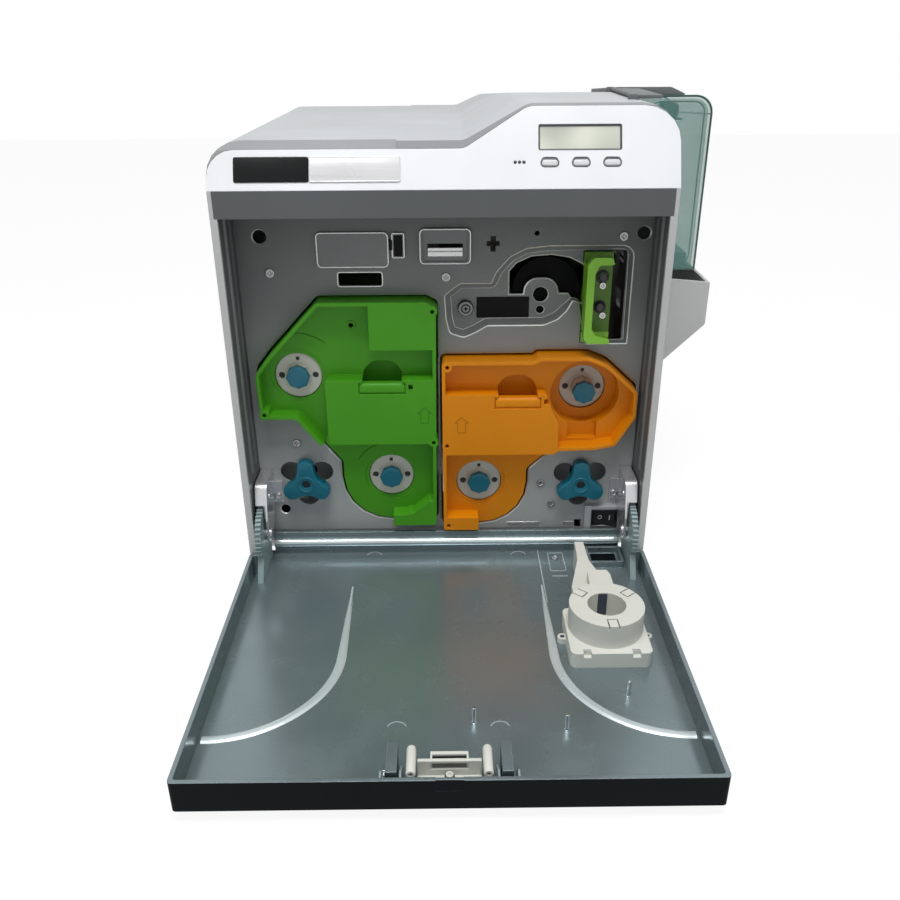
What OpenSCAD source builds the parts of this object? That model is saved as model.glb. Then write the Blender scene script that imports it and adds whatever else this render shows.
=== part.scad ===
// Desktop card printer with a drop-down front door, shown with the door open.
// Machine axes: x to the right from the middle of the body, y to the rear from
// the front frame plane, z up from the table. machine() shifts them to the
// middle of the whole outline.

/* [Body] */
// Width of the body over the side covers
body_w = 280; // [270:1:300]
// Depth from the front frame plane to the rear panel
body_d = 338.5; // [320:0.5:360]
// Height of the low part of the top cover over the seam
cover_h = 26.5; // [24:0.5:29]
// Rise of the raised part of the top cover over the low part
top_rise = 19.5; // [16:0.5:21]
// Height of the header band, from the recess ceiling to the seam
band_h = 16.3; // [14.5:0.1:18]
// Height of the underside of the side covers
skirt_z = 6; // [5:0.5:7]
// Wall of the moulded covers
wall = 2.5; // [2:0.1:3.5]
// Rounding of the long top edges
top_edge_r = 18; // [12:1:20]
// Lean of the white fascia, from upright
fascia_lean = 24; // [16:1:26]
// Height of the rubber feet
foot_h = 8; // [7:0.5:8.5]
// Radius of the rubber feet
foot_r = 9; // [7:0.5:11]

/* [Front recess] */
// Width of a side cover's front rim
rim_w = 4.5; // [4:0.1:5.2]
// Depth from the frame plane to the steel front plate
plate_y = 38; // [37:0.5:40]
// Thickness of the steel front plate
plate_t = 1.5; // [1.2:0.1:2]
// Height of the steel front plate
plate_h = 235.2; // [234.8:0.2:238]
// Lower edge of the steel front plate
plate_z = 25; // [24:0.5:26]
// Gap between a loose piece and the hole it goes through
gap = 1.5; // [1:0.1:2]

/* [Front door] */
// Thickness of the door over its rim
door_t = 19; // [18:0.5:20]
// Reach of the open door in front of the frame plane
door_reach = 211.5; // [205:0.5:211.5]
// Wall of the door
door_wall = 2.5; // [2:0.1:3]
// Distance of the hinge axis behind the frame plane
hinge_y = 10.5; // [10:0.5:11]
// Height of the hinge axis
hinge_z = 37.5; // [37:0.5:38]
// Radius of the hinge pins
pin_r = 3; // [2.5:0.1:3.5]
// Running clearance of a pin in its bore
run_gap = 0.05; // [0.02:0.01:0.08]
// Middle of the toothed sectors, from the middle of the body
gear_x = 131.5; // [131:0.1:131.6]
// Width of the toothed sectors and damper pinions
gear_w = 4; // [3:0.1:4]
// Gear module
tooth_m = 1; // [0.9:0.05:1]
// Teeth on the full circle of a sector
sector_teeth = 41; // [40:1:42]
// Teeth on a damper pinion
pinion_teeth = 12; // [12:1:13]
// Angle of the pinion round the hinge, up from straight ahead
pinion_angle = 105; // [103:1:107]

/* [Cassettes] */
// Front of the cassettes, behind the frame plane
cassette_y = 25; // [24:0.5:27]
// Depth of the cassettes
cassette_d = 92; // [85:1:96]
// Depth of the tray pressed into a cassette's front
tray_d = 12; // [10:0.5:13]
// Wall of a cassette
cassette_wall = 2.4; // [2:0.1:3]
// Radius of a spool's end disc
disc_r = 16; // [15:0.5:16]
// Radius of a spool's cap
cap_r = 8; // [7:0.5:9]
// Radius of a spool's core
core_r = 9; // [8:0.5:10]
// Radius of the drive spindles
spindle_r = 4; // [3.5:0.1:4.5]

/* [Card boxes] */
// Reach of the output pocket beside the body
pocket_w = 63; // [58:1:66]
// Reach of the hopper cover beside the body
hopper_w = 50; // [46:1:52]
// Front of the card boxes, behind the frame plane
box_y = 125; // [120:1:130]
// Length of the hopper along the body
hopper_l = 112; // [108:1:118]
// Height of the hopper cover
hopper_h = 125.5; // [120:0.5:128]
// Wall of the hopper cover and the pocket
box_wall = 2.5; // [2:0.1:3]

/* [Hidden] */
$fn = 48;

half_w = body_w / 2;
origin_x = pocket_w / 2;
origin_y = (body_d - door_reach) / 2;
recess_half = half_w - rim_w;
header_z = plate_z + plate_h;       // underside of the header band
seam_z = header_z + band_h;         // between the side covers and the top cover
low_top_z = seam_z + cover_h;
high_top_z = low_top_z + top_rise;
hopper_z = high_top_z - hopper_h;   // lower edge of the hopper cover

module machine() translate([-origin_x, -origin_y, 0]) children();

// ---- outlines -----------------------------------------------------------
// An outline is a list of corners [a, b, radius], anticlockwise.
function unit(v) = v / norm(v);
function xy(p) = [p[0], p[1]];
function wrap(a) = a > 180 ? a - 360 : a < -180 ? a + 360 : a;
function corner_arc(p, q, s, n) =
    q[2] <= 0 ? [xy(q)] :
    let (u = unit(xy(p) - xy(q)), v = unit(xy(s) - xy(q)),
         half = acos(u * v) / 2, t = q[2] / tan(half),
         c = xy(q) + unit(u + v) * q[2] / sin(half),
         d0 = xy(q) + u * t - c, d1 = xy(q) + v * t - c,
         a0 = atan2(d0[1], d0[0]), da = wrap(atan2(d1[1], d1[0]) - a0))
    [for (i = [0:n]) c + q[2] * [cos(a0 + da * i / n), sin(a0 + da * i / n)]];
function rounded(pts, n = 5) =
    let (k = len(pts))
    [for (i = [0:k - 1])
        each corner_arc(pts[(i + k - 1) % k], pts[i], pts[(i + 1) % k], n)];
function edge_in(p, q) = let (u = unit(xy(q) - xy(p))) [-u[1], u[0]];
function inset(pts, d) =
    let (k = len(pts))
    [for (i = [0:k - 1])
        let (p = pts[(i + k - 1) % k], q = pts[i], s = pts[(i + 1) % k],
             m = edge_in(p, q), n = edge_in(q, s),
             turn = cross(xy(q) - xy(p), xy(s) - xy(q)),
             at = xy(q) + (m + n) * d / (1 + m * n))
        [at[0], at[1], q[2] <= 0 ? 0 : max(0.2, turn > 0 ? q[2] - d : q[2] + d)]];
function rect(x0, z0, x1, z1, r = 0) =
    [[x0, z0, r], [x1, z0, r], [x1, z1, r], [x0, z1, r]];

// Solids from an outline in the x-z plane or the y-z plane
module slab_xz(pts, y0, y1, n = 5)
    translate([0, y1, 0]) rotate([90, 0, 0])
        linear_extrude(y1 - y0) polygon(rounded(pts, n));
module slab_yz(pts, x0, x1, n = 5)
    translate([x0, 0, 0]) rotate([90, 0, 90])
        linear_extrude(x1 - x0) polygon(rounded(pts, n));
module slab_xy(pts, z0, z1, n = 5)
    translate([0, 0, z0]) linear_extrude(z1 - z0) polygon(rounded(pts, n));
module rod_y(x, z, r, y0, y1) translate([x, y0, z]) rotate([-90, 0, 0]) cylinder(r = r, h = y1 - y0);
module rod_x(y, z, r, x0, x1) translate([x0, y, z]) rotate([0, 90, 0]) cylinder(r = r, h = x1 - x0);
module block(x0, x1, y0, y1, z0, z1) translate([x0, y0, z0]) cube([x1 - x0, y1 - y0, z1 - z0]);

// ---- body shells --------------------------------------------------------
slope_x0 = 12;              // the top starts to rise here
slope_x1 = 50;              // and is level again here
low_bevel = 4.5;            // grey bevel between the fascia and the top
high_bevel = 1.5;
fascia_low = low_top_z - low_bevel;
fascia_high = high_top_z - high_bevel;
low_dy = (fascia_low - seam_z) * tan(fascia_lean);
high_dy = (fascia_high - seam_z) * tan(fascia_lean);
level_y = 125;              // the raised part is level to here
tail_y = 268;               // the top turns down from here
tail_rise = 10;             // height of the raised part there, over the low part
tail_z = 280;               // height of the top edge at the rear panel
lid_seat = [half_w - 30, box_y + hopper_l + 8];     // its left and rear edges

function low_side(d) = [
    [d, seam_z - 1, 0], [body_d - d, seam_z - 1, 0],
    [body_d - d, tail_z - d, 14], [tail_y + 34, low_top_z - d, 40],
    [low_dy + low_bevel * 2, low_top_z - d, 0], [low_dy + d * 0.5, fascia_low - d, 0],
    [d, seam_z + d * 0.2, 0]];
function high_side(d) = [
    [d, seam_z - 1, 0], [body_d - d, seam_z - 1, 0],
    [body_d - d, tail_z + 3 - d, 14], [tail_y + 12, low_top_z + tail_rise - d, 40],
    [level_y, high_top_z - d, 60], [high_dy + high_bevel * 1.5, high_top_z - d, 0],
    [high_dy + d * 0.5, fascia_high - d, 0], [d, seam_z + d * 0.2, 0]];
function low_front(d) = [
    [-half_w + d, seam_z - 1, 0], [half_w - d, seam_z - 1, 0],
    [half_w - d, low_top_z - d, top_edge_r], [-half_w + d, low_top_z - d, top_edge_r]];
function high_front(d) = [
    [slope_x0 - 40 + d, seam_z - 1, 0], [half_w - d, seam_z - 1, 0],
    [half_w - d, high_top_z - d, top_edge_r + 4], [slope_x1, high_top_z - d, 16],
    [slope_x0, low_top_z - d, 12], [slope_x0 - 40 + d, low_top_z - d, 0]];

module body_form(d) {
    intersection() {
        slab_yz(low_side(d), -half_w - 1, half_w + 1);
        slab_xz(low_front(d), -1, body_d + 1);
    }
    intersection() {
        slab_yz(high_side(d), -half_w - 1, half_w + 1);
        slab_xz(high_front(d), -1, body_d + 1);
    }
    // level seat under the hopper's cap
    intersection() {
        slab_xz(high_front(d), level_y, lid_seat[1] - d);
        block(lid_seat[0] + d, half_w, level_y, body_d, seam_z - 1, high_top_z);
    }
}

// ---- fascia -------------------------------------------------------------
fascia_t = 3;
function up(z) = (z - seam_z) / cos(fascia_lean);
fascia_outline = [
    [-half_w, 0, 0], [half_w, 0, 0], [half_w, up(fascia_high), top_edge_r + 3],
    [slope_x1, up(fascia_high), 14], [slope_x0, up(fascia_low), 10],
    [-half_w, up(fascia_low), top_edge_r - 2]];
display = [half_w - 84, half_w - 35, seam_z + 21, seam_z + 34.5];      // x and height of the window's edges
button_x = [for (n = [0:2]) half_w - 77.5 + 18.5 * n];
button_z = seam_z + 15;
button_size = [9.6, 4.2];
button_out = 0.9;
light_x = [for (n = [0:2]) half_w - 98 + 2.6 * n];
light_z = seam_z + 14.5;
light_r = 0.9;

// children() stand on the leaning face: x along it, z up it, y into it
module on_fascia() translate([0, 0, seam_z]) rotate([-fascia_lean, 0, 0]) children();

module top_cover() color("gainsboro") machine() difference() {
    body_form(0);
    body_form(wall);
    block(-half_w - 2, half_w + 2, -2, body_d + 2, seam_z - 3, seam_z);
    on_fascia() slab_xz(inset(fascia_outline, -0.1), -8, fascia_t + 0.1);
}
module fascia() color("white") machine() difference() {
    on_fascia() difference() {
        slab_xz(fascia_outline, 0, fascia_t);
        slab_xz(rect(display[0], up(display[2]), display[1], up(display[3]), 1), -1, fascia_t + 1);
        for (x = button_x)
            slab_xz(button_outline(x, gap / 5), -1, fascia_t + 1);
        for (x = light_x)
            rod_y(x, up(light_z), light_r + 0.05, -1, fascia_t + 1);
    }
    block(-half_w - 1, half_w + 1, 0.1, wall + 5, seam_z - 5, seam_z);
}
function button_outline(x, d) =
    rect(x - button_size[0] / 2 - d, up(button_z) - button_size[1] / 2 - d,
         x + button_size[0] / 2 + d, up(button_z) + button_size[1] / 2 + d, button_size[1] / 2 + d - 0.05);
module display_window() color("darkseagreen") machine() on_fascia() {
    slab_xz(rect(display[0] + 0.1, up(display[2]) + 0.1, display[1] - 0.1, up(display[3]) - 0.1, 1), 1, fascia_t);
    slab_xz(rect(display[0] - 4, up(display[2]) - 2, display[1] + 4, up(display[3]) + 2, 1), fascia_t, fascia_t + 3);
}
module status_lights() color("dimgray") machine() on_fascia() {
    for (x = light_x)
        rod_y(x, up(light_z), light_r, -0.2, fascia_t);
    slab_xz(rect(light_x[0] - 3, up(light_z) - 3, light_x[2] + 3, up(light_z) + 3, 0), fascia_t, fascia_t + 1.5);
}
module button(n) color("silver") machine() on_fascia() {
    slab_xz(button_outline(button_x[n], 0), -button_out, fascia_t + 0.4);
    slab_xz(button_outline(button_x[n], 1.6), fascia_t + 0.3, fascia_t + 1.5);
}
module left_button() button(0);
module middle_button() button(1);
module right_button() button(2);

// ---- side covers, base and frame ----------------------------------------
foot_x = half_w - 32;
feet_at = [[-foot_x, 62], [foot_x, 62], [-foot_x, body_d - 34], [foot_x, body_d - 34]];
slot_rise = hopper_z - 33;              // lower edge of the card exit
module side_cover(card_slots) difference() {
    block(half_w - rim_w, half_w, 0, body_d, skirt_z, seam_z - 0.1);
    // the base tray lies on the turned-in lower flange
    block(half_w - rim_w - 1, half_w - wall, wall, body_d + 1, foot_h - 0.1, seam_z + 1);
    block(half_w - rim_w - 1, half_w - wall, -1, wall + 1, header_z, seam_z + 1);
    if (card_slots) {
        block(half_w - wall - 1, half_w + 1, box_y + 10, box_y + hopper_l - 12, hopper_z + 3, hopper_z + 30);
        block(half_w - wall - 1, half_w + 1, box_y + 10, box_y + hopper_l - 12, slot_rise, slot_rise + 14);
    }
}
module left_side_cover() color("silver") machine() mirror([1, 0, 0]) side_cover(false);
module right_side_cover() color("silver") machine() side_cover(true);
module base_tray() color("dimgray") machine() difference() {
    union() {
        block(-half_w + wall + 0.1, half_w - wall - 0.1, plate_y + plate_t + 10, body_d - wall - 0.1, foot_h, foot_h + 3);
        block(-recess_half + 0.1, recess_half - 0.1, plate_y + plate_t + 0.5, plate_y + plate_t + 10.1, foot_h, plate_z - 2.5);
    }
    block(-recess_half + 3, recess_half - 3, plate_y + plate_t + 3, plate_y + plate_t + 10.2, foot_h + 3, plate_z);
    for (f = feet_at) translate([f[0], f[1], foot_h - 1]) cylinder(r = 2.5, h = 6);
    for (x = [-60:12:60])
        block(x - 2.5, x + 2.5, 120, 190, foot_h - 1, foot_h + 4);
}
module feet() color("black") machine()
    for (f = feet_at) translate([f[0], f[1], 0]) {
        cylinder(r = foot_r, h = foot_h);
        cylinder(r = 2.5, h = foot_h + 4);
        translate([0, 0, foot_h + 3]) cylinder(r = 4.5, h = 1.5);
    }
// Header band, recess ceiling and recess side walls in one moulding
module front_frame() color("dimgray") machine() difference() {
    union() {
        block(-half_w + wall + 0.1, half_w - wall - 0.1, 0, wall, header_z, seam_z - 0.1);
        block(-half_w + wall + 0.1, half_w - wall - 0.1, 0, plate_y, header_z, header_z + wall);
        for (s = [-1, 1])
            bracket_wall(s);
    }
    for (s = [-1, 1]) {
        rod_x(hinge_y, hinge_z, pin_r, s > 0 ? recess_half - 1 : -half_w, s > 0 ? half_w : -recess_half + 1);
        rod_x(damper_y, damper_z, damper_pin_r, s > 0 ? recess_half - 1 : -half_w, s > 0 ? half_w : -recess_half + 1);
    }
}
module bracket_wall(s)
    block(s > 0 ? recess_half : -half_w + wall + 0.1, s > 0 ? half_w - wall - 0.1 : -recess_half,
          wall + 0.1, plate_y + plate_t, foot_h + 3.1, header_z + 1);

// ---- steel front plate --------------------------------------------------
green_outline = [
    [-7.2, 33.9, 3], [-6, 198, 2], [-13, 201.4, 2], [-84.5, 201.4, 3],
    [-118, 165.5, 6], [-128.8, 152, 8], [-128, 119, 5], [-104, 119, 4], [-74.2, 81, 3],
    [-74.2, 33.9, 34]];
orange_outline = [
    [-2, 29.4, 2], [58.2, 29.4, 33.5], [58.2, 74, 5], [79, 93, 6], [104, 93.6, 10], [119, 96.5, 4],
    [131.8, 118, 6], [131.6, 137, 3], [110.3, 156.9, 20], [97, 162.5, 12], [63, 162.5, 1], [60, 160, 1],
    [-2.5, 160, 3]];
green_hubs = [[-101.5, 146.8], [-39.8, 69.1]];
orange_hubs = [[97.2, 131.9], [23.9, 63.7]];
knob_at = [[-101.4, 65.8], [97.6, 63.3]];
shaft_at = [14, 192.8];
heat_at = [68, 203.5];
cartridge = [91.5, 120.5, 168.8, 230.8];  // opening for the cleaning cartridge
reader_slot = [95.5, 101, 20, 30];      // gap for the door's flat cable
dial_hole_r = 7.8;
dial_hole_at = 13;                      // from the dial's axis
dial_cup_r = 23;                        // cup behind a dial, which carries its pin
dial_cup_d = 18;
dial_pin_r = 5;
top_row = header_z - 15.7;              // top of the row of fittings under the header
screw_at = [[-114.6, 218.4], [0.9, 214.9], [116.3, 240.8], [-106.8, 95.2], [69.3, 61], [77.8, 44.2],
    [60, 243]];
screw_hole_r = 1.6;
round_holes = [[-119.5, 241.9, 5], [129.3, 242.7, 4.8], [-119.4, 41.2, 4]];
// The sunk pan round the roller openings and the black shaft
pan_outline = [
    [0.5, 186, 3], [3, 176, 4], [12.7, 172.8, 5], [21, 176.5, 4], [28.8, 181, 3], [66.8, 181.1, 8], [76, 185, 5],
    [82, 191, 4], [85.6, 198, 1], [89, 196.8, 2], [91.5, 184, 2], [95, 167.6, 1], [124.2, 167.6, 0.5],
    [124.2, 235.1, 8], [68.2, 235.1, 10], [53.7, 233.5, 6], [42.9, 228.1, 6], [33.9, 218, 6], [30.8, 210.6, 1],
    [10, 210.6, 6], [-0.5, 202.5, 3]];
pan_y = plate_y + 4.5;
pan_wall = 1.2;
fan_outline = [
    [42.2, 201, 1], [53.3, 201, 1], [54.3, 211.8, 8.5], [74.2, 211.8, 8.5], [75.5, 201.4, 1], [82.5, 201.4, 0.5],
    [86.5, 195, 0], [97, 195, 0], [97, 221, 0], [92.4, 222, 2], [83.1, 226.7, 6], [70.9, 228.8, 8],
    [57.1, 227.8, 5], [47.1, 223.2, 4], [42.2, 217.5, 1]];
pan_holes = [[64.2, 201.4, 5.6], [64.2, 191, 3.2]];
module front_plate() color("gray") machine() difference() {
    union() {
        block(-recess_half + 0.1, recess_half - 0.1, plate_y, plate_y + plate_t, plate_z, header_z - 0.1);
        block(-recess_half + 0.1, recess_half - 0.1, plate_y, plate_y + 12, plate_z - 1.5, plate_z);
        for (k = knob_at)
            rod_y(k[0], k[1], dial_cup_r, plate_y + plate_t - 0.1, plate_y + dial_cup_d);
    }
    for (k = knob_at) {
        rod_y(k[0], k[1], dial_cup_r - 1.5, plate_y + plate_t, plate_y + dial_cup_d - 2);
        rod_y(k[0], k[1], dial_pin_r + run_gap, plate_y + 2, plate_y + dial_cup_d + 1);
    }
    slab_xz(inset(green_outline, -gap - 1), plate_y - 1, plate_y + plate_t + 1);
    slab_xz(inset(orange_outline, -gap - 1), plate_y - 1, plate_y + plate_t + 1);
    for (k = knob_at) {
        for (a = [30, 150, 270])
            rod_y(k[0] + dial_hole_at * cos(a), k[1] + dial_hole_at * sin(a), dial_hole_r, plate_y - 1, plate_y + plate_t + 1);
        rod_y(k[0], k[1], dial_hole_r, plate_y - 1, plate_y + plate_t + 1);
    }
    for (h = round_holes)
        rod_y(h[0], h[1], h[2], plate_y - 1, plate_y + plate_t + 1);
    for (s = screw_at)
        rod_y(s[0], s[1], screw_hole_r, plate_y - 1, plate_y + plate_t + 1);
    block(-70, -41.5, plate_y - 1, plate_y + plate_t + 1, top_row - 35, top_row - 26.5);
    block(-11, 12, plate_y - 1, plate_y + plate_t + 1, top_row - 15, top_row - 7.5);
    block(30, 33.4, plate_y - 1, plate_y + plate_t + 1, top_row - 13, top_row - 3);
    block(27.5, 35.9, plate_y - 1, plate_y + plate_t + 1, top_row - 9.5, top_row - 6.3);
    slab_xz(pan_outline, plate_y - 1, plate_y + plate_t + 1);
    block(cartridge[0], cartridge[1], plate_y - 1, plate_y + plate_t + 1, cartridge[2], cartridge[3]);
    block(reader_slot[0], reader_slot[1], plate_y - 1, plate_y + 13, reader_slot[2], reader_slot[3]);
    block(switch_box[0] + 3, switch_box[1] - 3, plate_y - 1, plate_y + 13, plate_z - 2, switch_box[3] - 3);
}
module plate_screws() color("silver") machine()
    for (s = screw_at) {
        rod_y(s[0], s[1], 1.5, plate_y, plate_y + plate_t + 4);
        rod_y(s[0], s[1], 3, plate_y - 1.4, plate_y);
    }
module guard_plate() color("gray") machine() difference() {
    slab_xz(inset(pan_outline, -pan_wall), plate_y + plate_t, pan_y + plate_t);
    slab_xz(pan_outline, plate_y, pan_y);
    slab_xz(fan_outline, pan_y - 1, pan_y + plate_t + 1);
    block(cartridge[0], cartridge[1], plate_y, pan_y + plate_t + 1, cartridge[2], cartridge[3]);
    rod_y(shaft_at[0], shaft_at[1], shaft_r + 0.8, pan_y - 1, pan_y + plate_t + 1);
    for (h = pan_holes)
        rod_y(h[0], h[1], h[2], pan_y - 1, pan_y + plate_t + 1);
}
module access_panel() color("gray") machine() {
    slab_xz(rect(-83, top_row - 22.5, -36.5, top_row, 3), plate_y - 1.5, plate_y);
    difference() {
        slab_xz(rect(-34, top_row - 16.5, -26, top_row - 0.5, 1), plate_y - 1.5, plate_y);
        slab_xz(rect(-32.8, top_row - 15.3, -27.2, top_row - 1.7, 0.5), plate_y - 2, plate_y - 0.5);
    }
}
module card_slot_bezel() color("gray") machine() difference() {
    slab_xz(rect(-16, top_row - 20.5, 17, top_row + 2, 3), plate_y - 2, plate_y);
    slab_xz(rect(-14.5, top_row - 19, 15.5, top_row + 0.5, 2), plate_y - 3, plate_y - 1);
    block(-11, 12, plate_y - 3, plate_y + 1, top_row - 12, top_row - 7.5);
}

// ---- hinge --------------------------------------------------------------
pitch_r = tooth_m * sector_teeth / 2;
pinion_r = tooth_m * pinion_teeth / 2;
mesh_gap = 0.25;
damper_y = hinge_y - (pitch_r + pinion_r + mesh_gap) * cos(pinion_angle);
damper_z = hinge_z + (pitch_r + pinion_r + mesh_gap) * sin(pinion_angle);
damper_pin_r = 2;
hood = [recess_half - 9.5, recess_half - 1.2];     // x of a hinge bracket's hood

function tooth_pts(r, at, m) = [
    for (q = [[-0.62, -0.9], [-0.3, 0.9], [0.3, 0.9], [0.62, -0.9]])
        let (a = at + q[0] * m * 180 / (PI * r)) (r + q[1] * m) * [cos(a), sin(a)]];
module gear_disc(r, teeth, first, last, m, w, phase = 0) linear_extrude(w) {
    circle(r = r - 0.88 * m);
    for (i = [first:last]) polygon(tooth_pts(r, phase + 360 * i / teeth, m));
}
// A pinion gap faces the sector tooth nearest to the line of centres
sector_step = 360 / sector_teeth;
tooth_off = round(pinion_angle / sector_step) * sector_step - pinion_angle;
pinion_phase = pinion_angle + 180 - tooth_off * pitch_r / pinion_r + 180 / pinion_teeth;
// Side plate that carries the pins, and the hood over the damper pinion
module hinge_bracket() {
    hood_z = damper_z + 12;
    difference() {
        union() {
            slab_yz([[hinge_y - 6, hinge_z - 6, 5], [hinge_y + 6, hinge_z - 6, 5], [plate_y, 48, 0],
                [plate_y, hood_z, 0], [damper_y - 6, hood_z, 7], [damper_y - 10, hood_z - 14, 3],
                [hinge_y - 6, hinge_z + 12, 2]], hood[0], hood[0] + 1.5);
            block(hood[0] - 6, hood[0] + 1, plate_y - 1.5, plate_y, 48, hood_z - 10);
        }
        rod_x(hinge_y, hinge_z, pin_r, hood[0] - 1, hood[0] + 3);
        rod_x(damper_y, damper_z, damper_pin_r, hood[0] - 1, hood[0] + 3);
        rod_y(hood[0] - 2.8, 53, screw_hole_r, plate_y - 3, plate_y + 1);
    }
    difference() {
        slab_yz([[plate_y, hood_z - 2, 0], [plate_y, hood_z, 0], [damper_y - 6, hood_z, 7],
            [damper_y - 10, hood_z - 14, 2], [damper_y - 10, 50, 0], [damper_y - 8.5, 50, 0],
            [damper_y - 8.5, hood_z - 14, 2], [damper_y - 5, hood_z - 2, 5]],
            hood[0] + 0.5, hood[1]);
        block(gear_x - gear_w / 2 - 0.8, half_w, 0, damper_y, 40, hinge_z + pitch_r + 2.6);
    }
}
module hinge_brackets() color("lightgray") machine() {
    hinge_bracket();
    mirror([1, 0, 0]) hinge_bracket();
}
module hinge_pins() color("silver") machine()
    for (s = [0, 1]) mirror([s, 0, 0]) {
        rod_x(hinge_y, hinge_z, pin_r, hood[0] - 1, half_w - wall - 0.2);
        rod_x(damper_y, damper_z, damper_pin_r, hood[0] - 0.5, half_w - wall - 0.2);
    }
// A gear in the y-z plane round (y, z); angles run up from straight ahead
module hinge_gear(y, z, r, teeth, first, last, bore, phase = 0)
    translate([gear_x - gear_w / 2, y, z]) mirror([0, 1, 0]) rotate([90, 0, 90])
        difference() {
            gear_disc(r, teeth, first, last, tooth_m, gear_w, phase);
            translate([0, 0, -1]) cylinder(r = bore + run_gap, h = gear_w + 2);
        }
module damper() hinge_gear(damper_y, damper_z, pinion_r, pinion_teeth, 0, pinion_teeth - 1, damper_pin_r, pinion_phase);
module left_damper() color("black") machine() mirror([1, 0, 0]) damper();
module right_damper() color("black") machine() damper();

// ---- front door, drawn open ---------------------------------------------
seat_gap = 0.3;                     // the closed rim stands off the frame plane
rim_z = hinge_z - hinge_y - seat_gap;
under_z = rim_z - door_t;
floor_z = under_z + door_wall;
door_end = 2 * hinge_y + 9.5;       // far side of the wall beyond the hinge
ear = [-14, 24];                    // foot of a sector's ear along the door
rib_r = 70;                         // sweep of the curved ribs
rib_y = -95;
latch_y = -door_reach + door_wall + 0.4;
reader_at = [99.5, -80];
reader_half = 25;
reader_ring = [23.5, 12];           // outer and inner radius
reader_base_h = 10.5;
reader_top = rim_z + 10.5;

module front_door() color("slategray") machine() difference() {
    union() {
        difference() {
            slab_xy(rect(-half_w, -door_reach, half_w, -0.5, 2.5), under_z, rim_z);
            slab_xy(rect(-half_w + door_wall, -door_reach + door_wall, half_w - door_wall, -3, 1.5), floor_z, rim_z + 1);
            block(-recess_half + 1.2, recess_half - 1.2, -4, 1, floor_z, rim_z + 1);
        }
        block(-recess_half + 1.2, recess_half - 1.2, -0.6, door_end, under_z, floor_z);
        block(hood_clear[0], hood_clear[1], door_end - door_wall, door_end, under_z, rim_z);
        rod_x(door_end - door_wall, (floor_z + rim_z) / 2, 1.4, hood_clear[0], hood_clear[1]);
        for (s = [0, 1]) mirror([s, 0, 0]) {
            curved_rib();
            block(26.5, 32, latch_y + 1, latch_y + 22, floor_z - 0.5, rim_z + 2);
        }
        for (p = [[14.1, -152.5], [65.6, -158.8], [104.9, -131.7]])
            translate([p[0], p[1], floor_z - 0.5]) cylinder(r = 1.2, h = 10);
        difference() {
            slab_xy(rect(102, 2, 128, 24, 1), floor_z - 0.5, floor_z + 5);
            slab_xy(rect(104, 4, 126, 22, 1), floor_z, floor_z + 6);
        }
    }
    block(106, 124, 8, 12, under_z - 1, floor_z + 1);
    block(-7, 7, latch_y - 4, latch_y + 1, rim_z - 7, rim_z + 1);
}
hood_clear = [-recess_half + 7.4, recess_half - 7.4];
module curved_rib() {
    intersection() {
        translate([half_w - 4, rib_y, floor_z - 0.5]) difference() {
            cylinder(r = rib_r + 1.2, h = 1.3, $fn = 96);
            translate([0, 0, -1]) cylinder(r = rib_r - 1.2, h = 4, $fn = 96);
        }
        block(0, half_w - 5, rib_y - rib_r - 5, rib_y, floor_z - 1, floor_z + 2);
    }
    block(half_w - 4 - rib_r - 1.2, half_w - 4 - rib_r + 1.2, rib_y - 0.1, -20, floor_z - 0.5, floor_z + 0.8);
}
module door_gear() {
    difference() {
        union() {
            hinge_gear(hinge_y, hinge_z, pitch_r, sector_teeth, -2, 14, pin_r);
            slab_yz([[ear[0], floor_z, 0], [ear[1], floor_z, 0], [hinge_y + 14, hinge_z - 8, 0],
                [hinge_y - 14, hinge_z - 8, 0]], gear_x - gear_w / 2, gear_x + gear_w / 2);
        }
        rod_x(hinge_y, hinge_z, pin_r + run_gap, gear_x - gear_w, gear_x + gear_w);
    }
}
module door_gears() color("lightsteelblue") machine() {
    door_gear();
    mirror([1, 0, 0]) door_gear();
}
// Fixed cream guide of the latch, screwed to the door floor
module latch_bracket() color("ivory") machine() difference() {
    union() {
        block(-24, 24, latch_y, latch_y + 25, floor_z, floor_z + 1.6);
        for (x = [-24, 22])
            block(x, x + 2, latch_y, latch_y + 25, floor_z, rim_z - 1);
    }
    translate([0, latch_y + 8, floor_z - 1]) cylinder(r = 1.6, h = 4);
}
latch_gap = 0.3;
latch_travel = 4;
// Sliding cream yoke with the two hooked posts
module door_latch() color("ivory") machine() difference() {
    union() {
        for (s = [0, 1]) mirror([s, 0, 0])
            slab_yz([[latch_y + latch_gap, floor_z + 1.9, 0], [latch_y + 20, floor_z + 1.9, 1],
                [latch_y + 20, floor_z + 8, 3], [latch_y + 9, rim_z + 3, 3], [latch_y + latch_gap, rim_z + 3, 1]],
                16.5, 21.7);
        block(-17, 17, latch_y + latch_gap, latch_y + 4, floor_z + 1.9, rim_z - 3);
        block(-17, 17, latch_y + latch_gap, latch_y + 12, floor_z + 1.9, floor_z + 4);
    }
    block(-9.5, 9.5, latch_y - 1, latch_y + 5, floor_z + 7, rim_z - 5.5);
    translate([0, latch_y + 8, floor_z]) cylinder(r = 3.4, h = 8);
}
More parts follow.
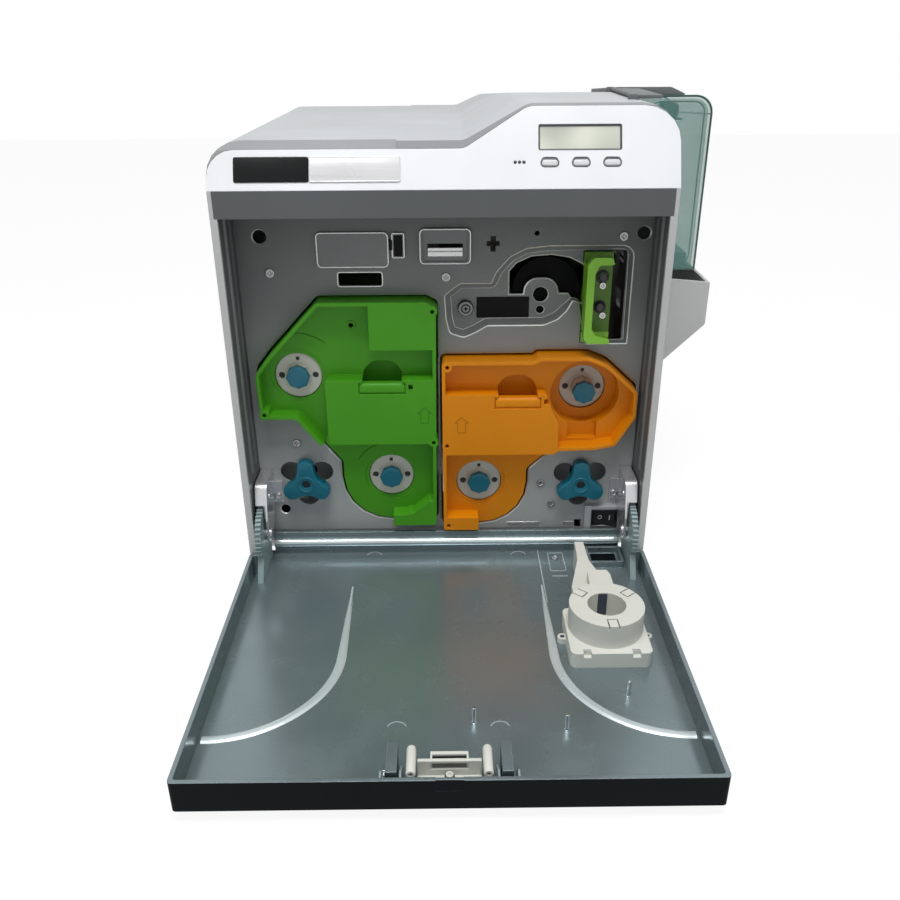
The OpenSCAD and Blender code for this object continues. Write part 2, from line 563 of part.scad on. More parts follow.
// Ring-shaped reader for the tag in the ribbon spool
arm_top = rim_z + 3.3;
module tag_reader() color("ivory") machine() translate([reader_at[0], reader_at[1], 0]) difference() {
    union() {
        slab_xy(rect(-reader_half, -reader_half - 3, reader_half, reader_half - 6, 4), floor_z, floor_z + reader_base_h);
        translate([0, 0, floor_z]) cylinder(r = reader_ring[0], h = reader_top - floor_z, $fn = 64);
        slab_xy([[-7.5, 15, 0], [8, 15, 0], [8, 33, 2], [6.5, 38.6, 1.5], [-6.5, 38.6, 1.5]], arm_top, reader_top);
        for (s = [-1, 1]) difference() {
            hull() {
                translate([s * (reader_half + 2), -2, floor_z]) cylinder(r = 3, h = 4, $fn = 32);
                translate([s * (reader_half - 3), -2, floor_z]) cylinder(r = 3, h = 4, $fn = 32);
            }
            translate([s * (reader_half + 2), -2, floor_z - 1]) cylinder(r = 1.4, h = 8);
        }
    }
    translate([0, 0, floor_z + 2]) cylinder(r = reader_ring[1], h = reader_top);
    for (a = [38, 140, 272]) rotate(a) {
        for (s = [-1, 1])
            translate([reader_ring[0] - 8, s * 3 - 0.4, reader_top - 3]) cube([9, 0.8, 4]);
        translate([reader_ring[0] - 8, -3.4, reader_top - 3]) cube([0.8, 6.8, 4]);
    }
    for (x = [-15, 15])
        block(x - 2.5, x + 2.5, -reader_half - 4, -reader_half, floor_z + reader_base_h - 3, floor_z + reader_base_h + 1);
}
// Cream duct that carries the reader's flat cable to the hinge
module reader_arm() color("ivory") machine() translate([reader_at[0], reader_at[1], 0]) difference() {
    slab_xy([[-17.5, 24, 0], [8, 24, 0], [7.5, 37, 2], [2, 49, 3], [-1.3, 62, 3], [-1.7, 71, 0], [-1.7, 86, 0.5],
        [-8.1, 86, 0.5], [-8.5, 71, 0], [-9.3, 62, 3], [-17.5, 30, 1]], floor_z, arm_top);
    slab_xy(rect(-14, 25, 4, 36, 1), floor_z - 1, rim_z - 3.5);
}

// ---- locking dials ------------------------------------------------------
knob_front = plate_y - 9;
knob_back = plate_y - 1;
// One arm of the dial's outline as [angle from the arm, reach]
knob_arm = [[-15, 15.8], [-9, 17.4], [0, 17.9], [9, 17.4], [15, 15.8], [26, 12.6], [42, 10.5], [60, 9.8], [78, 10.5], [94, 12.6]];
module knob(n) color("teal") machine() translate([knob_at[n][0], 0, knob_at[n][1]]) difference() {
    union() {
        translate([0, knob_back, 0]) rotate([90, 0, 0]) linear_extrude(knob_back - knob_front)
            polygon([for (a = [90, 210, 330], p = knob_arm) p[1] * [cos(a + p[0]), sin(a + p[0])]]);
        rod_y(0, 0, dial_pin_r, knob_back - 1, plate_y + dial_cup_d);
    }
    rod_y(0, 0, 3.2, knob_front - 1, knob_back - 0.5);
}
module left_knob() knob(0);
module right_knob() knob(1);

// ---- cassettes ----------------------------------------------------------
cassette_end = cassette_y + cassette_d;
floor_y = cassette_y + tray_d;
rear_plate_t = 3;
spool_gap = 0.4;
disc_y = floor_y + 2;               // front of a spool's disc
grip_half = [13.8, 15.3];           // half widths of the finger cup and the grip bar
grip_rise = 10.3;                   // top of the finger cup over the block
bar_z = [-9.5, -2.5];               // heights of the bar's edges from the block's top
bar_y = cassette_y + 6;             // back of the bar
cup_y = floor_y + 8;                // bottom of the finger cup
boss_r = 3.4;
dowel_r = 1.4;
orange_cup = [24, floor_y + 13];    // radius and bottom of the cup round the ribbon spool
cup_notch = [86.5, 98, 107, 115];   // x and height of the notch's edges
notch_y = floor_y + 6;

// Outline of the finger cup of a grip at g, from height z0, with d of wall round it
function finger_cup(g, z0, d) = let (h = grip_half[0] + d, top = g[1] + grip_rise + d)
    [[g[0] - h, z0 - d, 0], [g[0] + h, z0 - d, 0], [g[0] + h, top, 12 + d], [g[0] - h, top, 12 + d]];
function bar_rect(g, d) = rect(g[0] - grip_half[1] - d, g[1] + bar_z[0] - d, g[0] + grip_half[1] + d, g[1] + bar_z[1] + d);

// A box with an open tray in front, two spool bays, a rear plate and a grip
// bar before a finger cup. children(0) is added, children(1) is cut away.
module cassette(outline, hubs, blocks, open_front, window, grip, bosses) {
    difference() {
        union() {
            difference() {
                slab_xz(outline, cassette_y, cassette_end);
                slab_xz(inset(outline, cassette_wall), floor_y + cassette_wall, cassette_end - rear_plate_t);
                difference() {
                    slab_xz(inset(outline, cassette_wall), cassette_y - 1, floor_y);
                    for (b = blocks) slab_xz(b, cassette_y - 2, floor_y + 1, 2);
                }
                slab_xz(open_front, cassette_y - 1, floor_y);
                // the film leaves through a long window in the inner side
                slab_xz(window, cup_y + 4, cassette_end - 8);
            }
            slab_xz(finger_cup(grip, grip[1] + bar_z[0], cassette_wall), floor_y, cup_y + cassette_wall);
            for (b = bosses) rod_y(b[0], b[1], boss_r, cassette_y, floor_y + 1);
            children(0);
        }
        slab_xz(finger_cup(grip, grip[1] + bar_z[1], 0), cassette_y - 1, bar_y + 0.1);
        slab_xz(finger_cup(grip, grip[1] + bar_z[0], 0), bar_y, cup_y);
        slab_xz(bar_rect(grip, 0.7), cassette_y - 1, cassette_y + 1.5);
        block(grip[0] + 18, grip[0] + 21, cassette_y - 1, cassette_y + 5, grip[1] - 7, grip[1] - 3.4);
        for (b = bosses) rod_y(b[0], b[1], dowel_r, cassette_y - 1, cassette_y + 7);
        for (h = hubs) {
            rod_y(h[0], h[1], disc_r + spool_gap, floor_y - 1, floor_y + cassette_wall + 1);
            rod_y(h[0], h[1], disc_r + 3, floor_y - 1, floor_y + 0.6);
            rod_y(h[0], h[1], core_r + 1 + run_gap, cassette_end - rear_plate_t - 1, cassette_end + 1);
        }
        children(1);
    }
    slab_yz([[cassette_y + 0.3, grip[1] + bar_z[0], 1], [bar_y, grip[1] + bar_z[0], 0],
        [bar_y, grip[1] + bar_z[1], 0], [cassette_y + 0.3, grip[1] + bar_z[1], 2.5]],
        grip[0] - grip_half[1], grip[0] + grip_half[1]);
}
green_block = [-82, 99.5, 147.5];       // left, lower and upper edge of the flush block
green_blocks = [rect(-50.6, 168.7, -4, 203, 1), rect(green_block[0], green_block[1], -4, green_block[2], 1),
    rect(-40, 31, -27, 42.5, 1), [[-28, 31, 0], [-4, 31, 0], [-4, 54, 0], [-12.5, 54, 2], [-24, 43.5, 2], [-28, 43.5, 0]]];
green_bosses = [[-8.4, 195], [-8.6, 100.4], [-125.4, 122.2]];
green_screw = [-63.4, 182.9];
module green_cassette() color("limegreen") machine()
    cassette(green_outline, green_hubs, green_blocks, rect(-92, 30, -38.7, green_block[1]), rect(-20, 50, 0, 185),
        [-43.3, green_block[2]], green_bosses) {
        rod_y(green_screw[0], green_screw[1], 3.2, floor_y - 0.8, floor_y + 1);
        rod_y(green_screw[0], green_screw[1], 1.7, floor_y - 2, floor_y + cassette_wall + 1);
    }
orange_block = [90.5, 136];             // lower and upper edge of the flush block
orange_blocks = [
    [[-4, orange_block[0], 0], [79.2, orange_block[0], 1], [78.4, 114.2, 2], [70.2, 132.4, 2], [69.4, orange_block[1], 1],
        [-4, orange_block[1], 0]],
    rect(-4, 28, 23.5, 39.5, 1)];
orange_bosses = [[1.2, 156], [0.8, 97.7], [1.6, 33]];
module orange_cassette() color("darkorange") machine()
    cassette(orange_outline, [orange_hubs[1]], orange_blocks, rect(23.5, 27, 82, orange_block[0]), rect(-5, 45, 10, 150),
        [49.7, orange_block[1]], orange_bosses) {
        union() {
            rod_y(orange_hubs[0][0], orange_hubs[0][1], orange_cup[0] + cassette_wall, floor_y, orange_cup[1] + cassette_wall);
            block(cup_notch[0] - 2, cup_notch[2] + 2, floor_y, notch_y + 2, cup_notch[1] - 2, cup_notch[3]);
        }
        union() {
            rod_y(orange_hubs[0][0], orange_hubs[0][1], orange_cup[0], floor_y - 2, orange_cup[1]);
            rod_y(orange_hubs[0][0], orange_hubs[0][1], disc_r + spool_gap, orange_cup[1] - 1, orange_cup[1] + cassette_wall + 1);
            rod_y(orange_hubs[0][0], orange_hubs[0][1], core_r + 1 + run_gap, cassette_end - rear_plate_t - 1, cassette_end + 1);
            block(cup_notch[0], cup_notch[2], floor_y - 2, notch_y, cup_notch[1], cup_notch[3]);
        }
    }

roll_r = [20, 13];
// A spool: end disc at y0 with two holes and a notch, cap, core and roll
module spool(h, roll, y0, cap_d) color("whitesmoke") machine() difference() {
    union() {
        rod_y(h[0], h[1], disc_r, y0, y0 + 2);
        translate([h[0], y0 - cap_d, h[1]]) rotate([-90, 0, 0]) cylinder(r = cap_r, h = cap_d + 1, $fn = 8);
        rod_y(h[0], h[1], core_r, y0 + 1, cassette_end - rear_plate_t - spool_gap);
        rod_y(h[0], h[1], roll, y0 + 8, cassette_end - rear_plate_t - 3);
        rod_y(h[0], h[1], core_r + 1, cassette_end - rear_plate_t - 1, cassette_end);
    }
    rod_y(h[0], h[1], spindle_r + run_gap, cassette_end - 30, cassette_end + 1);
    for (s = [-1, 1])
        rod_y(h[0] + 11.6 * s, h[1], 2.2, y0 - 1, y0 + 1.2);
    block(h[0] - 1.2, h[0] + 1.2, y0 - 1, y0 + 0.6, h[1] + 10.8, h[1] + 13.4);
}
module green_upper_spool() spool(green_hubs[0], roll_r[0], disc_y, 6);
module green_lower_spool() spool(green_hubs[1], roll_r[1], disc_y, 6);
module orange_upper_spool() spool(orange_hubs[0], roll_r[0], orange_cup[1] + 2, 14);
module orange_lower_spool() spool(orange_hubs[1], roll_r[1], disc_y, 6);

// Drive spindles: a shaft from the bulkhead into each spool's core
bulkhead_y = 150;
bulkhead_t = 3;
module spindle(h) color("silver") machine() {
    rod_y(h[0], h[1], spindle_r, cassette_end - 16, bulkhead_y + 18);
    rod_y(h[0], h[1], 10, bulkhead_y - 8, bulkhead_y - 1);
    rod_y(h[0], h[1], 14, bulkhead_y + bulkhead_t + 1, bulkhead_y + bulkhead_t + 8);
}
module green_upper_spindle() spindle(green_hubs[0]);
module green_lower_spindle() spindle(green_hubs[1]);
module orange_upper_spindle() spindle(orange_hubs[0]);
module orange_lower_spindle() spindle(orange_hubs[1]);

// ---- cleaning cartridge -------------------------------------------------
roller_at = [[104.7, 213.9], [103.8, 193.6]];
roller_r = 7;
cartridge_y = plate_y - 14;
cartridge_end = bulkhead_y - 20;
carrier = [92.2, 111.2, 173, 230];      // x and height of the carrier's edges
bow_outline = [
    [91.9, 176, 1.5], [94, 172.6, 1], [109, 172.2, 1], [109, 175.6, 1], [99.5, 178, 2], [96.8, 183, 2], [97, 219, 3],
    [99.5, 224.9, 2], [109.3, 225.2, 1], [108, 229.9, 1.5], [95.7, 230.2, 3], [91.9, 225, 3]];
module cleaning_cartridge() color("yellowgreen") machine() difference() {
    union() {
        // bow handle
        slab_xz(bow_outline, cartridge_y, cartridge_y + 6);
        block(carrier[0], carrier[0] + 2.6, cartridge_y + 5, plate_y + 3, 178, 224);
        // carrier
        block(carrier[0], carrier[1], plate_y + 2, plate_y + 5, carrier[2], carrier[3]);
        block(carrier[0], carrier[1], cartridge_end - 4, cartridge_end, carrier[2], carrier[3]);
        block(carrier[0], carrier[0] + 2.8, plate_y + 4, cartridge_end - 1, carrier[2], 200);
        // it runs on the lower edge of the pan's opening
        block(carrier[0], carrier[1], plate_y + 1, cartridge_end - 1, cartridge[2] + run_gap, carrier[2] + 3);
    }
    for (r = roller_at)
        rod_y(r[0], r[1], 3 + run_gap, plate_y, cartridge_end + 1);
}
module cartridge_roller(n, length) machine() {
    rod_y(roller_at[n][0], roller_at[n][1], 3, plate_y - 2, cartridge_end);
    rod_y(roller_at[n][0], roller_at[n][1], roller_r, plate_y + 6, cartridge_end - 5);
}
module cleaning_roller() color("white") cartridge_roller(0);
module tape_roller() color("dimgray") cartridge_roller(1);

// ---- power switch -------------------------------------------------------
switch_box = [102.5, 130.5, 24.6, 44];      // x and height of the housing's edges
switch_y = plate_y - 5.5;
rocker_gap = 0.4;
module switch_housing() color("silver") machine() difference() {
    block(switch_box[0], switch_box[1], switch_y, plate_y - 0.1, switch_box[2], switch_box[3]);
    block(switch_box[0] + 5, switch_box[1] - 4, switch_y - 1, plate_y + 1, switch_box[2] + 2, switch_box[3] - 3);
}
rocker_y = switch_y + 4;
module power_rocker() color("black") machine() {
    x0 = switch_box[0] + 5 + rocker_gap;
    x1 = switch_box[1] - 4 - rocker_gap;
    mid = (x0 + x1) / 2;
    z0 = switch_box[2] + 2 + rocker_gap;
    z1 = switch_box[3] - 3 - rocker_gap;
    translate([0, 0, z0]) linear_extrude(z1 - z0)
        polygon([[x0 + 1, rocker_y + 1], [x0 + 1, switch_y + 1.5], [mid, switch_y + 2.6], [x1 - 1, switch_y - 0.5],
            [x1 - 1, rocker_y + 1]]);
}

// ---- rear ---------------------------------------------------------------
inlet = [-110, -80, 30, 52];
usb = [40, 53, 32, 43];
lan = [62, 78, 31, 45];
module rear_panel() color("gray") machine() difference() {
    block(-half_w + wall + 0.1, half_w - wall - 0.1, body_d - wall, body_d, skirt_z + wall + 0.1, seam_z - 0.1);
    for (p = [inlet, usb, lan])
        block(p[0] - 0.1, p[1] + 0.1, body_d - wall - 1, body_d + 1, p[2] - 0.1, p[3] + 0.1);
    for (z = [110:14:180])
        block(-90, -10, body_d - wall - 1, body_d + 1, z, z + 5);
}
module socket_box(p, depth, hole) difference() {
    block(p[0], p[1], body_d - depth, body_d - 0.2, p[2], p[3]);
    block(p[0] + 2, p[1] - 2, body_d - hole, body_d + 1, p[2] + 2, p[3] - 2);
}
module power_inlet() color("black") machine() {
    socket_box(inlet, 24, 16);
    for (p = [[0, 4], [-7, -2], [7, -2]])
        block((inlet[0] + inlet[1]) / 2 + p[0] - 1, (inlet[0] + inlet[1]) / 2 + p[0] + 1, body_d - 17, body_d - 4,
            (inlet[2] + inlet[3]) / 2 + p[1] - 2, (inlet[2] + inlet[3]) / 2 + p[1] + 2);
}
module data_ports() color("silver") machine() {
    socket_box(usb, 16, 12);
    socket_box(lan, 18, 14);
}

// ---- card boxes on the right side ---------------------------------------
pocket_l = hopper_l + 8;
pocket_top = hopper_z - 4;
module output_pocket() color("darkgray") machine() difference() {
    pocket_form(0);
    pocket_form(box_wall);
    block(half_w - 1, half_w + box_wall + 1, box_y + 10, box_y + hopper_l - 12, slot_rise, slot_rise + 14);
}
// d is the wall left all round; the inner form is open at the top
module pocket_form(d) slab_xz([
    [half_w + d, hopper_z - 105 + d * 2, 0], [half_w + pocket_w - d, hopper_z - 43 + d * 0.4, 3],
    [half_w + pocket_w - d, pocket_top + (d > 0 ? 2 : -6), 0], [half_w + d, pocket_top + (d > 0 ? 7 : 0), 0]],
    box_y + d, box_y + pocket_l - d);
module hopper_frame() color("darkslategray") machine() difference() {
    union() {
        block(half_w, half_w + 4, box_y, box_y + hopper_l, hopper_z, high_top_z - 24);
        block(half_w, half_w + hopper_w - box_wall - 1, box_y + box_wall + 1, box_y + hopper_l - box_wall - 1, hopper_z, hopper_z + 3);
    }
    block(half_w - 1, half_w + 5, box_y + 10, box_y + hopper_l - 12, hopper_z + 5, hopper_z + 30);
}
hopper_top = high_top_z - 2.2;
lid_x = half_w - 22;                // left edge and hinge line of the hopper's cap
lid_z = high_top_z + 1.7;
lid_y = 50;
lid_r = 1.5;
hopper_pin_r = 0.8;
module hopper_cover() color([0.4, 0.62, 0.55, 0.6]) machine() difference() {
    slab_xz([[half_w + 5, hopper_z, 0], [half_w + hopper_w, hopper_z, 0], [half_w + hopper_w, hopper_top, 12],
        [half_w - 6, hopper_top, 0], [half_w - 6, hopper_top - 1.5, 0], [half_w - 0.5, hopper_top - 9, 0],
        [half_w + 1.5, hopper_top - 16, 0], [half_w + 5, hopper_top - 18, 0]], box_y, box_y + hopper_l);
    slab_xz([[half_w + 4, hopper_z - 1, 0], [half_w + hopper_w - box_wall, hopper_z - 1, 0],
        [half_w + hopper_w - box_wall, hopper_top - box_wall, 10], [half_w - 3, hopper_top - box_wall, 0],
        [half_w + 4, hopper_top - 18, 0]], box_y + box_wall, box_y + hopper_l - box_wall);
}
// Grey cap with the finger slot; it lifts with the cover
module hopper_cap() color("darkgray") machine() difference() {
    union() {
        block(lid_x, half_w - 4, lid_y, box_y + hopper_l, lid_z - lid_r, lid_z + lid_r);
        slab_xz([[half_w - 5, lid_z - lid_r, 0], [half_w - 5, hopper_top, 0], [half_w + 34, hopper_top, 0],
            [half_w + 20, lid_z + lid_r, 0], [half_w - 5, lid_z + lid_r, 0]], box_y, box_y + hopper_l);
        rod_y(lid_x, lid_z, lid_r, lid_y, box_y + hopper_l);
    }
    rod_y(lid_x, lid_z, hopper_pin_r + run_gap, lid_y - 1, box_y + hopper_l + 1);
    slab_xy(rect(half_w - 14, box_y + 24, half_w + 12, box_y + 36, 3), lid_z - 0.2, lid_z + 3);
}
module hopper_hinge() color("darkgray") machine() {
    rod_y(lid_x, lid_z, hopper_pin_r, lid_y - 3, box_y + hopper_l + 3);
    for (y = [lid_y - 3.3, box_y + hopper_l + 0.3])
        difference() {
            block(lid_x - 4, lid_x + 2, y, y + 3, high_top_z, lid_z + lid_r);
            rod_y(lid_x, lid_z, hopper_pin_r, y - 1, y + 4);
        }
}
module card_weight() color("darkslategray") machine() {
    block(half_w + 6, half_w + hopper_w - box_wall - 3, box_y + 8, box_y + hopper_l - 8, hopper_z + 3.2, hopper_z + 11);
    block(half_w + 14, half_w + 34, box_y + 40, box_y + 44, hopper_z + 10, hopper_z + 24);
}

// ---- inside -------------------------------------------------------------
heat_r = 22.5;
shaft_r = 5;
module heat_roller() color("dimgray") machine() {
    rod_y(heat_at[0], heat_at[1], heat_r, plate_y + 8, bulkhead_y - 4);
    rod_y(heat_at[0], heat_at[1], shaft_r, plate_y + 7, bulkhead_y + bulkhead_t + 4);
}
module platen_shaft() color("black") machine() {
    rod_y(shaft_at[0], shaft_at[1], shaft_r, pan_y - 3, plate_y + 9);
    rod_y(shaft_at[0], shaft_at[1], 8, plate_y + 9, bulkhead_y - 4);
    rod_y(shaft_at[0], shaft_at[1], 4, bulkhead_y - 5, bulkhead_y + bulkhead_t + 4);
}
module bulkhead() color("lightgray") machine() difference() {
    block(-half_w + wall + 0.2, half_w - wall - 0.2, bulkhead_y, bulkhead_y + bulkhead_t, foot_h + 3, header_z + 10);
    for (h = concat(green_hubs, orange_hubs, [shaft_at]))
        rod_y(h[0], h[1], spindle_r + run_gap, bulkhead_y - 1, bulkhead_y + bulkhead_t + 1);
    rod_y(heat_at[0], heat_at[1], shaft_r + run_gap, bulkhead_y - 1, bulkhead_y + bulkhead_t + 1);
    block(95, 135, bulkhead_y - 1, bulkhead_y + bulkhead_t + 1, 196, 244);
}
module print_head() color("darkgray") machine() {
    block(-4, 30, plate_y + 8, bulkhead_y, 212, 224);
    block(8, 20, plate_y + 12, bulkhead_y - 6, 206, 212.1);
}
module main_board() color("darkgreen") machine() {
    block(-100, 90, bulkhead_y + 22, bulkhead_y + 23.6, 60, 240);
    for (x = [-95, 85])
        for (z = [66, 234])
            rod_y(x, z, 3, bulkhead_y + bulkhead_t, bulkhead_y + 22);
}
module power_supply() color("black") machine()
    block(-98, 46, 215, body_d - 26, foot_h + 3, 84);
module drive_motor() color("dimgray") machine() {
    block(-20, 22, bulkhead_y + bulkhead_t, bulkhead_y + 20, 12, 46);
}

base_tray();
feet();
left_side_cover();
right_side_cover();
top_cover();
fascia();
front_frame();
display_window();
status_lights();
left_button();
middle_button();
right_button();
front_plate();
plate_screws();
guard_plate();
access_panel();
card_slot_bezel();
hinge_brackets();
hinge_pins();
left_damper();
right_damper();
front_door();
door_gears();
latch_bracket();
door_latch();
tag_reader();
reader_arm();
left_knob();
right_knob();
green_cassette();
green_upper_spool();
green_lower_spool();
orange_cassette();
orange_upper_spool();
orange_lower_spool();
green_upper_spindle();
green_lower_spindle();
orange_upper_spindle();
orange_lower_spindle();
cleaning_cartridge();
cleaning_roller();
tape_roller();
switch_housing();
power_rocker();
rear_panel();
power_inlet();
data_ports();
output_pocket();
hopper_frame();
hopper_cover();
hopper_cap();
hopper_hinge();
card_weight();
heat_roller();
platen_shaft();
bulkhead();
print_head();
main_board();
power_supply();
drive_motor();
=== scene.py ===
import math

import bmesh
import bpy
from bpy.props import FloatProperty, FloatVectorProperty, PointerProperty
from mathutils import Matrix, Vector


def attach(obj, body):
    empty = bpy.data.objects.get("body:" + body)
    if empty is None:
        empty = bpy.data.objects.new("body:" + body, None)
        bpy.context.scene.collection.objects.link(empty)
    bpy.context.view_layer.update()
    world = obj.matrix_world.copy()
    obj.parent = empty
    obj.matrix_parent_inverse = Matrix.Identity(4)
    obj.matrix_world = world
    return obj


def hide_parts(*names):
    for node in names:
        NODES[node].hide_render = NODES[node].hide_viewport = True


bl_info = {
    "name": "Card Printer Dressing",
    "version": (1, 0, 0),
    "blender": (4, 5, 0),
    "location": "3D View > Sidebar > Card Printer",
    "description": "Finishes and fine pieces of a desktop card printer, laid on its engineering model",
    "category": "Object",
}

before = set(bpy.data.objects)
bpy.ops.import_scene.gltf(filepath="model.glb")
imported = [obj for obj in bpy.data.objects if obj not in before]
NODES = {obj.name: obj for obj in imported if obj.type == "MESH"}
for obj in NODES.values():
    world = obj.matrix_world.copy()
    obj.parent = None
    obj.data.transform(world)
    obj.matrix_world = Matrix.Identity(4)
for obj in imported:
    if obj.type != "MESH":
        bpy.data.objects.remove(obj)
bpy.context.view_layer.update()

MM = 0.001
# The engineering model's axes start at the middle of the whole outline. The
# machine's own start at the middle of its body, on the plane of its front,
# and every place below is in them: x to the right, y to the rear, z up.
SHIFT = Vector((-31.5, -63.5, 0.0))
LEAN = math.radians(24)          # lean of the fascia
FASCIA_Z = 276.5                 # its lower edge
PLATE_Y = 38                     # front of the steel front plate
WALL_X = 135.5                   # inner face of the recess walls
RECESS_Z = (84, 259)             # bottom and top of their mouldings
FLOOR_Z = 10.2                   # floor of the open door
LIP_Y = -211.0                   # front of the open door's rim
LATCH_Y = -208.6                 # front of the latch
REAR_Y = 338.5                   # rear of the body
TOP_Z = 322.5                    # the raised part of the top
LEVEL_Y = 125                    # it is level to here
FALL = 9.5 / 155                 # and falls from here to the rear
SEAT_X, SEAT_END, SEAT_LOW = 109, 245.5, 290     # left, rear and lowest edge of the card box's seat
BOX_LOW = 197.5                  # bottom of the card box's cover
PIN_Z = 324.2                    # axis of that cover's hinge
RIDGE = ((72.9, 0.02), (71.6, 1.0), (68.4, 1.0), (67.1, 0.02))   # radius and height across a ridge

# Boxes up the leaning fascia (x0, z0, x1, z1) and the pieces between them
DISPLAY = (56, 22.99, 105, 37.77)
NAMEPLATE_LEFT = (-124, 4.9, -79.6, 19.8)
NAMEPLATE_RIGHT = (-79.5, 4.9, -25.6, 19.8)
BUTTONS = {"left_button": 62.5, "middle_button": 81.0, "right_button": 99.5}
LAMPS, LAMP_Z = (42.0, 44.6, 47.2), 15.87

# Corners (x, z, radius) of the cassettes' outlines, the sunk pan and the roller opening
GREEN = [
    (-7.2, 33.9, 3), (-6, 198, 2), (-13, 201.4, 2), (-84.5, 201.4, 3), (-118, 165.5, 6),
    (-128.8, 152, 8), (-128, 119, 5), (-104, 119, 4), (-74.2, 81, 3), (-74.2, 33.9, 34),
]
ORANGE = [
    (-2, 29.4, 2), (58.2, 29.4, 33.5), (58.2, 74, 5), (79, 93, 6), (104, 93.6, 10), (119, 96.5, 4),
    (131.8, 118, 6), (131.6, 137, 3), (110.3, 156.9, 20), (97, 162.5, 12), (63, 162.5, 1),
    (60, 160, 1), (-2.5, 160, 3),
]
PAN = [
    (0.5, 186, 3), (3, 176, 4), (12.7, 172.8, 5), (21, 176.5, 4), (28.8, 181, 3), (66.8, 181.1, 8),
    (76, 185, 5), (82, 191, 4), (85.6, 198, 1), (89, 196.8, 2), (91.5, 184, 2), (95, 167.6, 1),
    (124.2, 167.6, 0.5), (124.2, 235.1, 8), (68.2, 235.1, 10), (53.7, 233.5, 6), (42.9, 228.1, 6),
    (33.9, 218, 6), (30.8, 210.6, 1), (10, 210.6, 6), (-0.5, 202.5, 3),
]
PAN_SLOPE = [4.4] * 8 + [1.2, 1.2, 1.2, 1.0, 2.2, 3.0] + [4.4] * 7     # width of its slope at each corner
PAN_FLOOR = [4.0] * 8 + [0.9, 0.9, 0.9, 0.8, 1.9, 2.6] + [4.0] * 7     # and of the flat ledge's edge
FAN = [
    (42.2, 201, 1), (53.3, 201, 1), (54.3, 211.8, 8.5), (74.2, 211.8, 8.5), (75.5, 201.4, 1),
    (82.5, 201.4, 0.5), (86.5, 195, 0), (97, 195, 0), (97, 221, 0), (92.4, 222, 2), (83.1, 226.7, 6),
    (70.9, 228.8, 8), (57.1, 227.8, 5), (47.1, 223.2, 4), (42.2, 217.5, 1),
]
SHAFT = (14, 192.8)
# Round holes (x, z, radius, depth behind the plate) and raised rims (x0, z0, x1, z1, radius, height)
ROUND_HOLES = (
    (-119.5, 241.9, 5, 0), (129.3, 242.7, 4.8, 0), (-119.4, 41.2, 4, 0), (64.2, 201.4, 5.6, 4.5),
    (64.2, 191, 3.2, 4.5), (*SHAFT, 5.8, 4.5),
)
RIMS = (
    (-83.2, 221.8, -36.3, 244.7, 3.2, 1.5), (-34.2, 227.8, -25.8, 244.2, 1.2, 1.5),
    (-16.2, 223.8, 17.2, 246.7, 3.2, 2.0), (-70.9, 208.6, -40.6, 218.9, 2.2, 0),
)
PLATE_SCREWS = ((-114.6, 218.4), (0.9, 214.9), (116.3, 240.8), (-106.8, 95.2), (69.3, 61), (77.8, 44.2))

# On the door's floor: arcs (x, y, radius, first and last angle), pins, and the reader's axis and top
DOOR_ARCS = (
    (-53.6, 21.0, 5.6, 10, 170), (53.0, 20.0, 5.6, 10, 170), (-29.1, -158.0, 5.8, 20, 160),
    (28.6, -158.5, 5.8, 20, 160),
)
DOOR_PINS = ((14.1, -152.5), (65.6, -158.8), (104.9, -131.7))
READER, READER_TOP = (99.5, -80), 37.2

# Each spool's axis (x, z), the depth of its flange and how far its hub stands out of it
SPOOLS = {
    "green_upper": (-101.5, 146.8, 39, 6), "green_lower": (-39.8, 69.1, 39, 6),
    "orange_upper": (97.2, 131.9, 52, 14), "orange_lower": (23.9, 63.7, 39, 6),
}
# Points across a flange's outer and inner ring (radius, depth), with the steps round each
RINGS = (
    (48, ((15.9, 0.3), (15.7, -0.12), (14.9, -0.12), (14.8, 0.1))),
    (40, ((9.6, 0.1), (9.5, -0.25), (8.7, -0.25), (8.6, 0.1))),
)
GREEN_ARCS = ((-101.5, 146.8, 31, 50, 100), (-39.8, 69.1, 27, 100, 150))
ARROW = (
    (0, 6.536), (-5.16, 1.72), (-2.924, 1.72), (-2.924, -5.676), (2.924, -5.676), (2.924, 1.72),
    (5.16, 1.72),
)
DIALS = {"left_knob": (-101.4, 65.8), "right_knob": (97.6, 63.3)}
# One of a dial's three lobes: angle and radius of each point
LOBE = (
    (-18, 16.8), (-10, 17.9), (0, 18.2), (10, 17.9), (18, 16.8), (27, 13.2), (42, 10.1), (60, 9.0),
    (78, 10.1), (93, 13.2),
)
CARTRIDGE_Y = 40                 # face of the cleaning cartridge's sunk part
ROLLERS = {"cleaning_roller": (104.7, 213.9), "tape_roller": (103.8, 193.6)}
CARTRIDGE_SCREWS = ((105.0, 207.9), (106.1, 187.6))

# The stage, in metres and degrees: name, place, aim, width and power of each light
LIGHTS = (
    ("softbox above", (-0.05, -0.42, 1.45), (0, -0.12, 0.1), 0.6, 17.0),
    ("softbox left", (-1.4, -0.9, 0.8), (0, -0.1, 0.1), 0.9, 1.5),
    ("softbox right", (1.4, -0.8, 0.9), (0, -0.1, 0.1), 0.9, 1.5),
)
CAMERA_PLACE = (-0.03274, -0.59302, 0.35887)
CAMERA_TURN = (64.53374, 0.29968, -0.55797)
FLOOR_GLOW, GLOW_SHARE = 1.06, 0.86      # the floor's own light, and its share where the floor is seen


def at(x, y, z):
    """A point in machine millimetres, in metres in the model's frame."""
    return (Vector((x, y, z)) + SHIFT) * MM


# ---- what a user may change ------------------------------------------------

def hue(label, text, value):
    return FloatVectorProperty(name=label, description=text, default=value, subtype="COLOR", size=3,
                               min=0, max=1)


